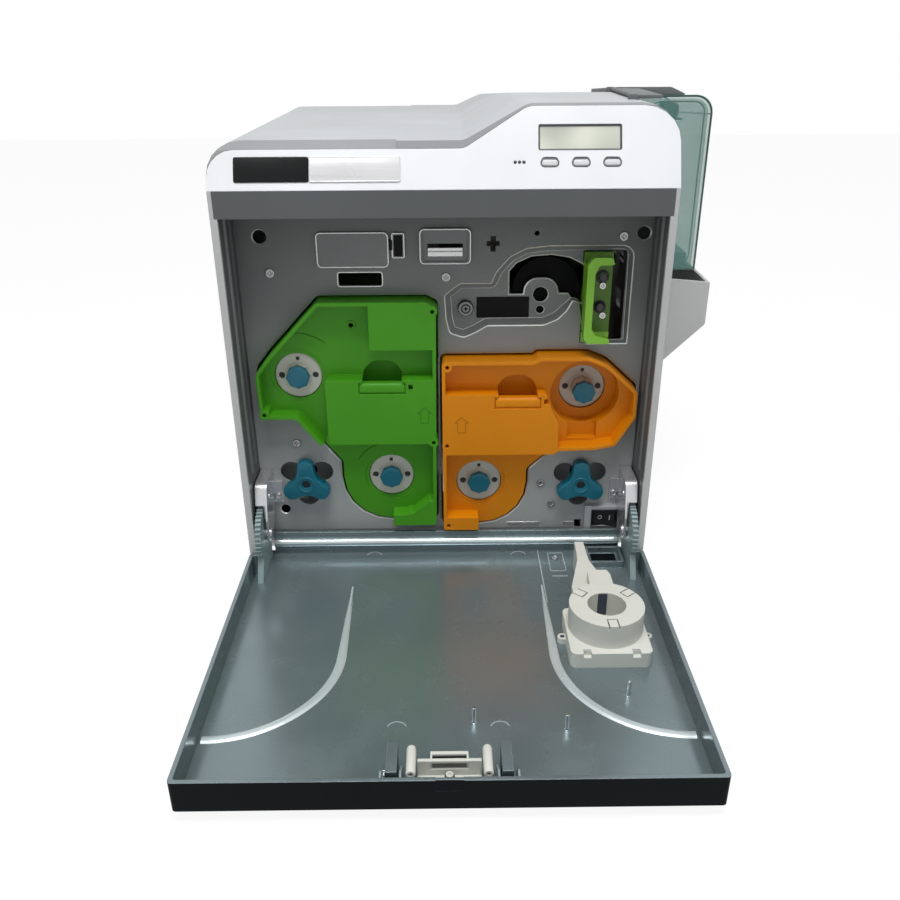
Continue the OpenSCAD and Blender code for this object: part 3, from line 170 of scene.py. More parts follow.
def length(label, text, mm):
    return FloatProperty(name=label, description=text, default=mm * MM, min=0, subtype="DISTANCE",
                         unit="LENGTH", precision=5)


class CARDPRINTER_PG_colours(bpy.types.PropertyGroup):
    """Colours of the printer's pieces"""
    cover: hue("Top cover", "Light grey of the moulded top cover", (0.40, 0.415, 0.425))
    fascia: hue("Fascia", "White of the leaning fascia", (0.74, 0.755, 0.775))
    side: hue("Side covers", "Silver of the side covers", (0.42, 0.43, 0.43))
    header: hue("Frame", "Grey of the header band and the recess walls", (0.105, 0.112, 0.115))
    plate: hue("Front plate", "Silver grey of the steel front plate", (0.30, 0.315, 0.315))
    door: hue("Door", "Blue grey of the front door", (0.20, 0.25, 0.265))
    cream: hue("Fittings", "Cream of the latch and the tag reader", (0.62, 0.63, 0.58))
    green: hue("Film cassette", "Green of the film cassette", (0.060, 0.30, 0.010))
    orange: hue("Ribbon cassette", "Orange of the ribbon cassette", (0.72, 0.24, 0.001))
    teal: hue("Dials", "Blue green of the dials and the spool caps", (0.0, 0.12, 0.18))
    lime: hue("Cleaning cartridge", "Lime of the cleaning cartridge", (0.21, 0.50, 0.03))
    spool: hue("Spools", "Off-white of the spools", (0.56, 0.56, 0.50))
    smoke: hue("Hopper", "Tint of the clear card hopper", (0.16, 0.36, 0.31))


class CARDPRINTER_PG_sizes(bpy.types.PropertyGroup):
    """Sizes of the printer's finishes and fine pieces"""
    edge: length("Edge rounding", "Rounding that the finishes show on moulded edges", 0.5)
    grain: length("Grain", "Size of the grain moulded into the covers", 0.6)


class CARDPRINTER_PG_stage(bpy.types.PropertyGroup):
    """The stage round the printer"""
    floor_size: length("Floor size", "Width and depth of the pale floor", 6000)
    sky: FloatProperty(name="Sky", description="Strength of the even light from all round", default=0.34,
                       min=0, max=2)
    lens: FloatProperty(name="Lens", description="Focal length of the camera in millimetres",
                        default=34.856, min=10, max=200, unit="CAMERA")


def colours():
    return bpy.context.scene.card_printer_colours


def sizes():
    return bpy.context.scene.card_printer_sizes


# ---- finishes --------------------------------------------------------------

class Tree:
    """Builds the node tree of one finish."""

    def __init__(self, name):
        self.mat = bpy.data.materials.new(name)
        self.mat.use_nodes = True
        self.tree = self.mat.node_tree
        self.bsdf = self.tree.nodes["Principled BSDF"]
        self.out = self.tree.nodes["Material Output"]
        self.place = self.add("ShaderNodeTexCoord").outputs["Object"]

    def add(self, kind, **values):
        node = self.tree.nodes.new(kind)
        for key, value in values.items():
            setattr(node, key, value)
        return node

    def join(self, a, b):
        self.tree.links.new(a, b)

    def noise(self, scale, detail=2.0, stretch=None):
        n = self.add("ShaderNodeTexNoise")
        n.inputs["Scale"].default_value = scale
        n.inputs["Detail"].default_value = detail
        source = self.place
        if stretch:
            m = self.add("ShaderNodeMapping")
            m.inputs["Scale"].default_value = stretch
            self.join(source, m.inputs["Vector"])
            source = m.outputs["Vector"]
        self.join(source, n.inputs["Vector"])
        return n.outputs["Fac"]

    def span(self, value, lo, hi, a=0.3, b=0.7):
        r = self.add("ShaderNodeMapRange")
        r.inputs["From Min"].default_value = a
        r.inputs["From Max"].default_value = b
        r.inputs["To Min"].default_value = lo
        r.inputs["To Max"].default_value = hi
        self.join(value, r.inputs["Value"])
        return r.outputs["Result"]

    def feed(self, socket, value):
        """Sets a socket to a number or a colour, or links another node's output to it."""
        if isinstance(value, (int, float)):
            socket.default_value = value
        elif isinstance(value, tuple):
            socket.default_value = value[:3] + (1.0,)
        else:
            self.join(value, socket)

    def maths(self, op, a, b):
        m = self.add("ShaderNodeMath", operation=op)
        self.feed(m.inputs[0], a)
        self.feed(m.inputs[1], b)
        return m.outputs["Value"]

    def blend(self, factor, a, b):
        m = self.add("ShaderNodeMix", data_type="RGBA")
        for key, value in (("Factor", factor), ("A", a), ("B", b)):
            self.feed(m.inputs[key], value)
        return m.outputs["Result"]

    def rounded(self, radius):
        b = self.add("ShaderNodeBevel", samples=4)
        b.inputs["Radius"].default_value = radius
        return b.outputs["Normal"]

    def edge_wear_and_highlight(self, radius):
        """1 along the outer edges and corners, 0 on the flats."""
        geometry = self.add("ShaderNodeNewGeometry")
        dot = self.add("ShaderNodeVectorMath", operation="DOT_PRODUCT")
        self.join(self.rounded(radius), dot.inputs[0])
        self.join(geometry.outputs["Normal"], dot.inputs[1])
        return self.span(dot.outputs["Value"], 1.0, 0.0, 0.75, 0.98)

    def bump(self, height, depth, strength=0.5, normal=None):
        b = self.add("ShaderNodeBump")
        b.inputs["Strength"].default_value = strength
        b.inputs["Distance"].default_value = depth
        self.join(height, b.inputs["Height"])
        if normal is not None:
            self.join(normal, b.inputs["Normal"])
        return b.outputs["Normal"]

    def set(self, **values):
        for key, value in values.items():
            self.feed(self.bsdf.inputs[key.replace("_", " ")], value)


def shade(colour, k):
    return tuple(min(1.0, c * k) for c in tuple(colour)[:3])


def plastic(name, colour, rough=0.42, grain=None, depth=0.03, mottle=0.05, edge=None, edge_wear_highlight_tone=1.12,
            specular=0.45, sheen=0.0):
    """Moulded plastic: a fine grain, a faint uneven tone, and edges painted paler, part rubbed wear and part
    a painted highlight.
    """
    t = Tree(name)
    grain = sizes().grain if grain is None else grain
    edge = sizes().edge if edge is None else edge
    tone = t.span(t.noise(14, 4), 0, 1)
    base = t.blend(tone, shade(colour, 1 - mottle), shade(colour, 1 + mottle))
    if edge > 0:
        # edges painted paler: part rubbed wear, part a painted highlight on the rounded edges
        base = t.blend(t.maths("MULTIPLY", t.edge_wear_and_highlight(edge), 0.35), base, shade(colour, edge_wear_highlight_tone))
    speck = t.noise(1 / grain, 3)
    scuff = t.noise(22, 5)
    t.set(Base_Color=base, Roughness=t.span(scuff, rough - 0.04, rough + 0.06))
    t.set(Specular_IOR_Level=specular)
    t.set(Normal=t.bump(speck, depth * MM, 0.5, t.rounded(edge) if edge > 0 else None))
    if sheen:
        t.set(Coat_Weight=sheen)
        t.set(Coat_Roughness=0.12)
    return t.mat


def metal(name, colour, rough=0.32, brushed=(1, 1, 1), metallic=1.0, depth=0.01, mottle=0.06, edge=None,
          flake=0.0, specular=0.5, foot=None):
    """Metal: fine brushing or a satin paint with flakes in it, and smears that catch the light.
    A foot is a paler colour painted in towards the bottom: painted light, where the low part is lit more than
    the top."""
    t = Tree(name)
    edge = sizes().edge if edge is None else edge
    tone = t.span(t.noise(18, 4, stretch=brushed), 0, 1)
    base = t.blend(tone, shade(colour, 1 - mottle), shade(colour, 1 + mottle))
    # painted light: the colour turns to the foot's towards the bottom
    if foot:
        split = t.add("ShaderNodeSeparateXYZ")
        t.join(t.place, split.inputs[0])
        base = t.blend(t.span(split.outputs["Z"], 0, 1, 0.26, 0.06), base, foot)
    if flake:
        spark = t.span(t.noise(2600, 1), 0, 1, 0.5, 0.72)
        base = t.blend(t.maths("MULTIPLY", spark, flake), base, shade(colour, 1.9))
    if edge > 0:
        # edges painted paler: part rubbed wear, part a painted highlight on the rounded edges
        base = t.blend(t.maths("MULTIPLY", t.edge_wear_and_highlight(edge), 0.5), base, shade(colour, 1.35))
    lines = t.noise(1100, 3, stretch=brushed)
    smear = t.noise(30, 5)
    t.set(Base_Color=base, Roughness=t.span(smear, rough - 0.06, rough + 0.08), Metallic=metallic)
    t.set(Specular_IOR_Level=specular)
    t.set(Normal=t.bump(lines, depth * MM, 0.5, t.rounded(edge) if edge > 0 else None))
    return t.mat


def rubber(name, colour, rough=0.75, grain=0.0008, specular=0.3):
    """Rubber: dull, with an even grain."""
    t = Tree(name)
    t.set(Specular_IOR_Level=specular)
    tone = t.span(t.noise(60, 4), 0, 1)
    t.set(Base_Color=t.blend(tone, shade(colour, 0.8), shade(colour, 1.25)))
    t.set(Roughness=t.span(t.noise(90, 4), rough - 0.1, rough + 0.1))
    t.set(Normal=t.bump(t.noise(1 / grain, 3), 0.05 * MM, 0.6))
    return t.mat


def soften(o, angle, weld=True):
    """The shape shades round up to this angle, once the points that share a place are joined."""
    if weld:
        o.modifiers.new("Weld", "WELD").merge_threshold = 1e-6
    o.modifiers.new("Edges", "EDGE_SPLIT").split_angle = math.radians(angle)


def dress(finish, *nodes):
    """The finish goes on these pieces of the engineering model."""
    for name in nodes:
        if name not in NODES:
            raise RuntimeError("the model has no piece named " + name)
        o = NODES[name]
        if not o.data.materials:
            o.data.materials.append(finish)
        for s in o.material_slots:
            s.link = "DATA"
            s.material = finish
        soften(o, 32)
        for p in o.data.polygons:
            p.use_smooth = True


def paint(node, finish, test):
    """The finish goes on those faces of a node whose middle (machine mm) and normal pass the test."""
    o = NODES[node]
    o.data.materials.append(finish)
    o.material_slots[-1].link = "DATA"
    last = len(o.data.materials) - 1
    for p in o.data.polygons:
        if test(p.center / MM - SHIFT, p.normal):
            p.material_index = last


def carried(o, body, node=None):
    """The object rides on a body, in place of a node if one is named."""
    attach(o, body)
    if node:
        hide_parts(node)


def sloped(node, body, inside, low=0.0):
    """The node's own shape with its top let down to the rear, in place of the node."""
    me = NODES[node].data.copy()
    for v in me.vertices:
        p = v.co / MM - SHIFT
        if inside(p):
            share = min(1.0, max(0.0, (p.z - low) / (TOP_Z - low))) if low else 1.0
            v.co.z -= max(0.0, p.y - LEVEL_Y) * FALL * MM * share
    o = bpy.data.objects.new(node + "_shape", me)
    bpy.context.scene.collection.objects.link(o)
    soften(o, 20)
    carried(o, body, node)


# ---- making fine pieces ----------------------------------------------------

def piece(name, bm, finish, body, edges=35, instead=None):
    """A new piece in place on one of the model's bodies, and in place of a node if one is named."""
    bmesh.ops.recalc_face_normals(bm, faces=bm.faces)
    me = bpy.data.meshes.new(name)
    bm.to_mesh(me)
    bm.free()
    o = bpy.data.objects.new(name, me)
    bpy.context.scene.collection.objects.link(o)
    me.materials.append(finish)
    for p in me.polygons:
        p.use_smooth = True
    soften(o, edges, weld=False)
    carried(o, body, instead)


def place_front(u, w, d):
    """Looking at the front: u right, w up, d towards the rear."""
    return at(u, d, w)


def place_falling(u, w, d):
    """As place_front, let down as the top is."""
    return at(u, d, w - max(0.0, d - LEVEL_Y) * FALL)


def place_top(u, w, d):
    """Looking down on the open door: u right, w to the rear, d up."""
    return at(u, w, d)


def place_side(u, w, d):
    """Looking from the left: u to the rear, w up, d right."""
    return at(d, u, w)


def place_fascia(u, w, d):
    """On the leaning fascia: u right, w up its face, d into it."""
    y = w * math.sin(LEAN) + d * math.cos(LEAN)
    return at(u, y, FASCIA_Z + w * math.cos(LEAN) - d * math.sin(LEAN))


def arc(cx, cy, r, a0, a1, n):
    """n + 1 points of an arc between two angles in degrees."""
    angles = [math.radians(a0 + (a1 - a0) * i / n) for i in range(n + 1)]
    return [(cx + r * math.cos(a), cy + r * math.sin(a)) for a in angles]


def circle(cx, cy, r, n=28):
    return arc(cx, cy, r, 0, 360 * (n - 1) / n, n - 1)


def crescent(cx, cy, r, width, a0, a1, n):
    """Outline of a curved line of the given width inside the radius."""
    return arc(cx, cy, r, a0, a1, n) + arc(cx, cy, r - width, a1, a0, n)


def round_rect(x0, y0, x1, y1, r, n=5):
    r = min(r, (x1 - x0) / 2 - 1e-4, (y1 - y0) / 2 - 1e-4)
    return (arc(x1 - r, y0 + r, r, -90, 0, n) + arc(x1 - r, y1 - r, r, 0, 90, n)
            + arc(x0 + r, y1 - r, r, 90, 180, n) + arc(x0 + r, y0 + r, r, 180, 270, n))


def rounded(corners, n=5):
    """Corners (u, w, radius) of an outline, anticlockwise, as n + 1 points each."""
    out = []
    for i, (u, w, r) in enumerate(corners):
        q = Vector((u, w))
        a = (Vector(corners[i - 1][:2]) - q).normalized()
        b = (Vector(corners[(i + 1) % len(corners)][:2]) - q).normalized()
        half = a.angle(b) / 2
        r = max(r, 1e-3)
        c = q + (a + b).normalized() * (r / math.sin(half))
        d0, d1 = q + a * (r / math.tan(half)) - c, q + b * (r / math.tan(half)) - c
        a0 = math.atan2(d0.y, d0.x)
        turn = (math.atan2(d1.y, d1.x) - a0 + math.pi) % (2 * math.pi) - math.pi
        angles = [a0 + turn * j / n for j in range(n + 1)]
        out += [tuple(c + r * Vector((math.cos(t), math.sin(t)))) for t in angles]
    return out


def inset(corners, d):
    """The same corners moved inwards by d, which may differ from corner to corner."""
    out = []
    k = len(corners)
    d = [d] * k if isinstance(d, (int, float)) else d
    for i, (*_, r) in enumerate(corners):
        p, q, s = (Vector(corners[j % k][:2]) for j in (i - 1, i, i + 1))
        e, f = (q - p).normalized(), (s - q).normalized()
        m, n = Vector((-e.y, e.x)), Vector((-f.y, f.x))
        v = q + (m + n) * (d[i] / (1 + m.dot(n)))
        outward = e.x * f.y - e.y * f.x > 0
        out.append((v.x, v.y, max(0.2, r - d[i] if outward else r + d[i])))
    return out


def corners_of(x0, z0, x1, z1, r):
    return [(x0, z0, r), (x1, z0, r), (x1, z1, r), (x0, z1, r)]


def slab(bm, outline, d0, d1, place=place_front, holes=(), bevel=0.0):
    """A flat piece from an outline, with straight holes, from d0 to d1."""
    part = bmesh.new()
    edges = []
    for loop in [outline] + [h[::-1] for h in holes]:
        vs = [part.verts.new((u, w, 0)) for u, w in loop]
        edges += [part.edges.new((vs[i], vs[(i + 1) % len(vs)])) for i in range(len(vs))]
    bmesh.ops.triangle_fill(part, edges=edges, use_beauty=True, use_dissolve=False)
    if not holes:
        bmesh.ops.dissolve_limit(part, angle_limit=0.01, verts=part.verts, edges=part.edges)
    out = bmesh.ops.extrude_face_region(part, geom=list(part.faces))
    for v in (g for g in out["geom"] if isinstance(g, bmesh.types.BMVert)):
        v.co.z = d1 - d0
    if bevel > 0:
        sharp = [e for e in part.edges if len(e.link_faces) == 2 and e.calc_face_angle(0) > 0.9]
        bmesh.ops.bevel(part, geom=sharp, offset=bevel, segments=2, profile=0.6, affect="EDGES",
                        clamp_overlap=True)
    base = {v: bm.verts.new(place(v.co.x, v.co.y, d0 + v.co.z)) for v in part.verts}
    for f in part.faces:
        try:
            bm.faces.new([base[v] for v in f.verts])
        except ValueError:
            pass
    part.free()


def slope(bm, corners, width, depth, d, place=place_front):
    """A sloping edge that leads from an outline at depth d inwards and down."""
    sides = ((rounded(corners), d), (rounded(inset(corners, width)), d + depth))
    a, b = ([bm.verts.new(place(u, w, v)) for u, w in points] for points, v in sides)
    for i in range(len(a)):
        j = (i + 1) % len(a)
        bm.faces.new((a[i], a[j], b[j], b[i]))
    bmesh.ops.remove_doubles(bm, verts=bm.verts, dist=2e-6)


def band(bm, corners, width, d0, d1, place=place_front, bevel=0.0):
    """A flat raised frame of the given width inside an outline."""
    slab(bm, rounded(corners, 4), d0, d1, place, [rounded(inset(corners, width), 4)], bevel)


def turned(bm, profile, cu, cw, n=40, place=place_front):
    """A turned piece round (cu, cw) from a profile of radius and depth pairs, in n steps."""
    rings = []
    for r, d in profile:
        steps = n if r > 0 else 1
        angles = [2 * math.pi * i / n for i in range(steps)]
        rings.append([bm.verts.new(place(cu + r * math.cos(a), cw + r * math.sin(a), d)) for a in angles])
    for a, b in zip(rings, rings[1:]):
        for i in range(n):
            j = (i + 1) % n
            quad = [a[i % len(a)], a[j % len(a)], b[j % len(b)], b[i % len(b)]]
            bm.faces.new(list(dict.fromkeys(quad)))


def dome(bm, cu, cw, r, d, height):
    """A low round head of radius r that stands from depth d towards the viewer."""
    crown = [(r * math.cos(a), d - height * math.sin(a)) for a in (0.35, 0.7, 1.1)]
    turned(bm, [(r, d)] + crown + [(0, d - height)], cu, cw, 24)


def cross(cu, cw, a, h):
    """Outline of a screw's cross slot with arms of length a and half width h."""
    arm = ((a, -h), (a, h), (h, h))
    turns = ((1, 0, 0, 1), (0, -1, 1, 0), (-1, 0, 0, -1), (0, 1, -1, 0))
    return [(cu + p * u + q * w, cw + r * u + s * w) for p, q, r, s in turns for u, w in arm]


def screw(bm, cu, cw, r, d, height, place=place_front, way=1):
    """A pan-head screw with a cross slot; way is 1 where depth grows away from the viewer."""
    top = d - way * height
    foot = top + way * 0.7
    slot = cross(cu, cw, r * 0.52, r * 0.14)
    slab(bm, circle(cu, cw, r, 24), min(d, top), max(d, top), place, [slot], r * 0.16)
    slab(bm, circle(cu, cw, r * 0.62, 12), min(d, foot), max(d, foot), place)


def tube(bm, points, radius, n=10):
    """A round bar along points in machine millimetres."""
    pts = [Vector(p) for p in points]
    section = [(radius * u, radius * w) for u, w in arc(0, 0, 1, 0, 360, n)[:n]]
    rings = []
    side = None
    for i, p in enumerate(pts):
        way = (pts[min(i + 1, len(pts) - 1)] - pts[max(i - 1, 0)]).normalized()
        if side is None:
            side = way.orthogonal().normalized()
        side = (side - way * side.dot(way)).normalized()
        up = way.cross(side)
        rings.append([bm.verts.new(at(*(p + side * u + up * w))) for u, w in section])
    for a, b in zip(rings, rings[1:]):
        for k in range(n):
            bm.faces.new([a[k], a[(k + 1) % n], b[(k + 1) % n], b[k]])
    bm.faces.new(rings[0])
    bm.faces.new(rings[-1])


def coil(cx, cy, cz, r, turns, pitch, n=14):
    """Points of a spring that lies along y."""
    wound = arc(cx, cz, r, 0, 360 * turns, int(turns * n))
    return [(x, cy + pitch * i / n, z) for i, (x, z) in enumerate(wound)]


# ---- operators, one for each piece or group of like pieces -----------------

def background_rays(tree):
    """1 for the rays that show the background: straight, through clear pieces and off gloss."""
    path = tree.nodes.new("ShaderNodeLightPath")
    source = path.outputs["Is Camera Ray"]
    for kind in ("Is Transmission Ray", "Is Glossy Ray"):
        either = tree.nodes.new("ShaderNodeMath")
        either.operation = "MAXIMUM"
        tree.links.new(source, either.inputs[0])
        tree.links.new(path.outputs[kind], either.inputs[1])
        source = either.outputs[0]
    return source


class CARDPRINTER_OT_stage(bpy.types.Operator):
    """Makes the pale floor, the soft studio light and the camera"""
    bl_idname = "card_printer.stage"
    bl_label = "Stage"

    def execute(self, context):
        scene = context.scene
        stage = scene.card_printer_stage
        scene.view_settings.view_transform = "Standard"

        bm = bmesh.new()
        half = stage.floor_size / 2
        bm.faces.new([bm.verts.new((x * half, y * half, 0)) for x, y in ((-1, -1), (1, -1), (1, 1), (-1, 1))])
        me = bpy.data.meshes.new("floor")
        bm.to_mesh(me)
        bm.free()
        floor = bpy.data.objects.new("floor", me)
        scene.collection.objects.link(floor)
        t = Tree("pale floor")
        t.set(Base_Color=t.blend(t.span(t.noise(6, 3), 0, 1), (0.80, 0.80, 0.80), (0.84, 0.84, 0.84)))
        t.set(Roughness=t.span(t.noise(30, 3), 0.7, 0.8))
        glow = t.add("ShaderNodeEmission")
        glow.inputs["Strength"].default_value = FLOOR_GLOW
        mix = t.add("ShaderNodeMixShader")
        t.join(t.maths("MULTIPLY", background_rays(t.tree), GLOW_SHARE), mix.inputs["Fac"])
        t.join(t.bsdf.outputs["BSDF"], mix.inputs[1])
        t.join(glow.outputs["Emission"], mix.inputs[2])
        t.join(mix.outputs["Shader"], t.out.inputs["Surface"])
        me.materials.append(t.mat)

        world = bpy.data.worlds.new("studio")
        scene.world = world
        world.use_nodes = True
        tree = world.node_tree
        soft, white = tree.nodes["Background"], tree.nodes.new("ShaderNodeBackground")
        for node, strength in ((soft, stage.sky), (white, 1.0)):
            node.inputs["Color"].default_value = (1, 1, 1, 1)
            node.inputs["Strength"].default_value = strength
        mix = tree.nodes.new("ShaderNodeMixShader")
        tree.links.new(background_rays(tree), mix.inputs["Fac"])
        tree.links.new(soft.outputs[0], mix.inputs[1])
        tree.links.new(white.outputs[0], mix.inputs[2])
        tree.links.new(mix.outputs[0], tree.nodes["World Output"].inputs["Surface"])

        for name, where, aim, width, power in LIGHTS:
            lamp = bpy.data.lights.new(name, "AREA")
            lamp.shape = "SQUARE"
            lamp.size = width
            lamp.energy = power
            o = bpy.data.objects.new(name, lamp)
            scene.collection.objects.link(o)
            o.location = where
            o.rotation_euler = (Vector(aim) - Vector(where)).to_track_quat("-Z", "Y").to_euler()

        cam = bpy.data.cameras.new("camera")
        cam.sensor_width = 36
        cam.lens = stage.lens
        cam.clip_start, cam.clip_end = 0.01, 50
        o = bpy.data.objects.new("camera", cam)
        scene.collection.objects.link(o)
        o.location = CAMERA_PLACE
        o.rotation_euler = tuple(math.radians(a) for a in CAMERA_TURN)
        scene.camera = o
        return {"FINISHED"}


class CARDPRINTER_OT_covers(bpy.types.Operator):
    """Finishes the covers, the fascia, the frame and the base"""
    bl_idname = "card_printer.covers"
    bl_label = "Covers"

    def execute(self, context):
        c = colours()
        dress(plastic("cover plastic", c.cover, 0.5, depth=0.06), "top_cover")
        # the cover's front bevel is the same plastic, painted darker: painted shade
        bevel = plastic("cover bevel", shade(c.cover, 0.62), 0.5, depth=0.06)
        paint("top_cover", bevel, lambda p, n: n.y < -0.3 and n.z > 0.3)
        dress(plastic("fascia plastic", c.fascia, 0.36, depth=0.02), "fascia")
        silver = metal("silver paint", c.side, 0.4, metallic=0.35, flake=0.3)
        dress(silver, "left_side_cover", "right_side_cover", "rear_panel")
        dress(plastic("frame plastic", c.header, 0.5, depth=0.05, specular=0.2), "front_frame")
        zinc = metal("zinc plate", (0.45, 0.45, 0.46), 0.4)
        dress(zinc, "base_tray", "bulkhead", "power_supply", "print_head")
        dress(rubber("foot rubber", (0.025, 0.025, 0.026)), "feet")

        # only the card box's seat is level on the model
        sloped("top_cover", "chassis",
               lambda p: p.x > SEAT_X and LEVEL_Y < p.y < SEAT_END and p.z > SEAT_LOW)

        # stepped mouldings down both walls of the recess
        bm = bmesh.new()
        root = WALL_X - 0.02
        for side in (-1, 1):
            for x, y0, y1 in ((WALL_X - 1.4, 13.0, 15.4), (WALL_X - 0.7, 28.0, 29.2)):
                outline = [(side * x, y0), (side * root, y0 - 1.2), (side * root, y1 + 1.2), (side * x, y1)]
                slab(bm, outline[::side], *RECESS_Z, place_top)
        finish = plastic("recess plastic", shade(c.header, 1.25), 0.42)
        piece("recess_mouldings", bm, finish, "chassis")
        return {"FINISHED"}


class CARDPRINTER_OT_panel(bpy.types.Operator):
    """Makes the display's frame, the lamps, the three buttons and the bare nameplate"""
    bl_idname = "card_printer.panel"
    bl_label = "Display and buttons"

    def execute(self, context):
        t = Tree("display glass")
        # pale and grey patches across the glass: a painted reflection
        tone = t.span(t.noise(26, 1), 0, 1, 0.35, 0.65)
        t.set(Base_Color=t.blend(tone, (0.36, 0.38, 0.33), (0.62, 0.64, 0.55)))
        t.set(Roughness=t.span(t.noise(60, 3), 0.1, 0.2))
        t.set(Coat_Weight=0.6, Normal=t.bump(t.noise(900, 2), 0.004 * MM, 0.3))
        dress(t.mat, "display_window")

        # a dark slope and rim round the display: part its dark border, part painted shade in its recess
        bm = bmesh.new()
        slope(bm, corners_of(*DISPLAY, 1), 0.9, 1.0, -0.03, place_fascia)
        x0, z0, x1, z1 = DISPLAY
        band(bm, corners_of(x0 - 0.25, z0 - 0.25, x1 + 0.25, z1 + 0.25, 1.2), 0.3, -0.1, 0.05, place_fascia)
        piece("display_frame", bm, plastic("display frame", (0.10, 0.10, 0.115), 0.4), "chassis")

        button = plastic("button plastic", (0.60, 0.61, 0.62), 0.34, grain=0.0004, depth=0.01, edge=0.0002)
        # dark rings in the gaps round the buttons: painted shade
        rim = plastic("button rim", (0.12, 0.12, 0.125), 0.5)
        bm = bmesh.new()
        half, low, high = 4.7, 13.7, 17.2
        for name, x in BUTTONS.items():
            key = corners_of(x - half, low, x + half, high, 1.7)
            band(bm, inset(key, -0.95), 0.72, -0.12, 0.3, place_fascia, 0.05)
            cap = bmesh.new()
            slab(cap, rounded(key, 8), -0.9, 2.5, place_fascia, bevel=0.75)
            piece(name + "_cap", cap, button, name, instead=name)
        piece("button_gap_shade", bm, rim, "chassis")

        bm = bmesh.new()
        lens = [(0.92, 0.6), (0.92, -0.15), (0.7, -0.36), (0.35, -0.47), (0, -0.5)]
        for x in LAMPS:
            turned(bm, lens, x, LAMP_Z, 20, place_fascia)
        finish = plastic("lamp lens", (0.012, 0.012, 0.015), 0.16)
        piece("lamp_lenses", bm, finish, "chassis", instead="status_lights")

        # a bare nameplate: a black half and a silver half with a fine rim
        bm = bmesh.new()
        slab(bm, rounded(corners_of(*NAMEPLATE_LEFT, 1.2), 3), -0.55, 0.1, place_fascia, bevel=0.15)
        finish = plastic("nameplate black", (0.003, 0.0035, 0.004), 0.24, depth=0.005, specular=0.2)
        piece("nameplate_left", bm, finish, "chassis")
        bm = bmesh.new()
        right = corners_of(*NAMEPLATE_RIGHT, 1.2)
        slab(bm, rounded(right, 3), -0.5, 0.1, place_fascia, bevel=0.15)
        band(bm, right, 0.5, -0.7, -0.4, place_fascia, 0.1)
        finish = metal("nameplate silver", (0.62, 0.62, 0.63), 0.3, brushed=(1, 30, 30), metallic=0.4)
        piece("nameplate_right", bm, finish, "chassis")
        return {"FINISHED"}


class CARDPRINTER_OT_front_plate(bpy.types.Operator):
    """Makes the front plate's screws, rims, sloping edges and bare label"""
    bl_idname = "card_printer.front_plate"
    bl_label = "Front plate"

    def execute(self, context):
        c = colours()
        # the plate's paint is dark, turning paler towards its foot: painted shade under the header, painted
        # light below
        plate = metal("plate paint", shade(c.plate, 0.42), 0.42, metallic=0.0, flake=0.35, specular=0.2,
                      foot=shade(c.plate, 1.35))
        guard = metal("guard paint", shade(c.plate, 0.6), 0.38, metallic=0.0, flake=0.35, specular=0.25)
        highlight_steel = metal("rim steel", (0.60, 0.61, 0.61), 0.24, metallic=0.7)
        dress(plate, "front_plate")
        dress(guard, "guard_plate", "access_panel", "card_slot_bezel")
        y = PLATE_Y

        bm = bmesh.new()
        for u, w in PLATE_SCREWS:
            screw(bm, u, w, 3.0, y, 1.4)
        steel = metal("screw steel", (0.32, 0.32, 0.33), 0.22)
        piece("plate_screw_heads", bm, steel, "chassis", 30, "plate_screws")

        # sloping edges: a wide one round the sunk pan, fine ones round the openings
        bm = bmesh.new()
        slope(bm, PAN, PAN_SLOPE, 4.4, y + 0.03)
        piece("pan_slope", bm, guard, "chassis")
        bm = bmesh.new()
        for corners in (inset(GREEN, -2.5), inset(ORANGE, -2.5)):
            slope(bm, corners, 1.0, 0.9, y - 0.05)
        slope(bm, inset(PAN, -0.1), 0.7, 0.5, y - 0.05)
        slope(bm, inset(PAN, PAN_FLOOR), 0.5, 0.25, y + 4.15)
        slope(bm, FAN, 0.9, 0.7, y + 4.45)
        for u, w, r, d in ROUND_HOLES:
            turned(bm, [(r + 0.02, y + d - 0.04), (r - 0.6, y + d + 0.6)], u, w, 28)
        # the fine edges are pale steel: a painted highlight along the cut edges
        finish = metal("edge steel", (0.62, 0.64, 0.62), 0.3, metallic=0.3)
        piece("opening_edges", bm, finish, "chassis")

        # raised rims round the panel, the slots and the card slot's bezel; these, the lips and the tabs are
        # pale steel, a painted highlight
        bm = bmesh.new()
        for *box, d in RIMS:
            band(bm, corners_of(*box), 0.75, y - d - 0.3, y - d + 0.3, bevel=0.12)
        # the card slot's lips, and two tabs along the plate's foot
        for z0, z1, d in ((229.2, 232.2, 3.4), (232.2, 234.5, 2.2)):
            slab(bm, round_rect(-10.8, z0, 11.8, z1, 0.3, 2), y - d, y + 0.6, bevel=0.25)
        for x0, x1, foot in ((47.5, 69.5, 45.0), (87.3, 95.9, 87.3)):
            slab(bm, [(x0, 24.2), (x1, 24.2), (x1, 28.6), (foot, 28.6)], y - 0.5, y + 0.2, bevel=0.15)
        piece("plate_rims", bm, highlight_steel, "chassis")

        # the slot beside the access panel, a black sheet of painted shade, the panel's catch, and the bare
        # black label
        bm = bmesh.new()
        slab(bm, round_rect(-32.7, 228.8, -27.3, 242.7, 0.5, 2), y - 0.62, y - 0.4)
        slab(bm, round_rect(-36.0, 233.0, -33.6, 240.0, 0.8, 3), y - 1.85, y - 1.0, bevel=0.2)
        slab(bm, round_rect(21.3, 185.7, 56.7, 200.1, 0.4, 2), y + 4.2, y + 4.52, bevel=0.1)
        black = plastic("label black", (0.003, 0.003, 0.003), 0.4, depth=0.006, edge=0.0002, specular=0.1)
        piece("plate_label_and_slot_shade", bm, black, "chassis")
        return {"FINISHED"}


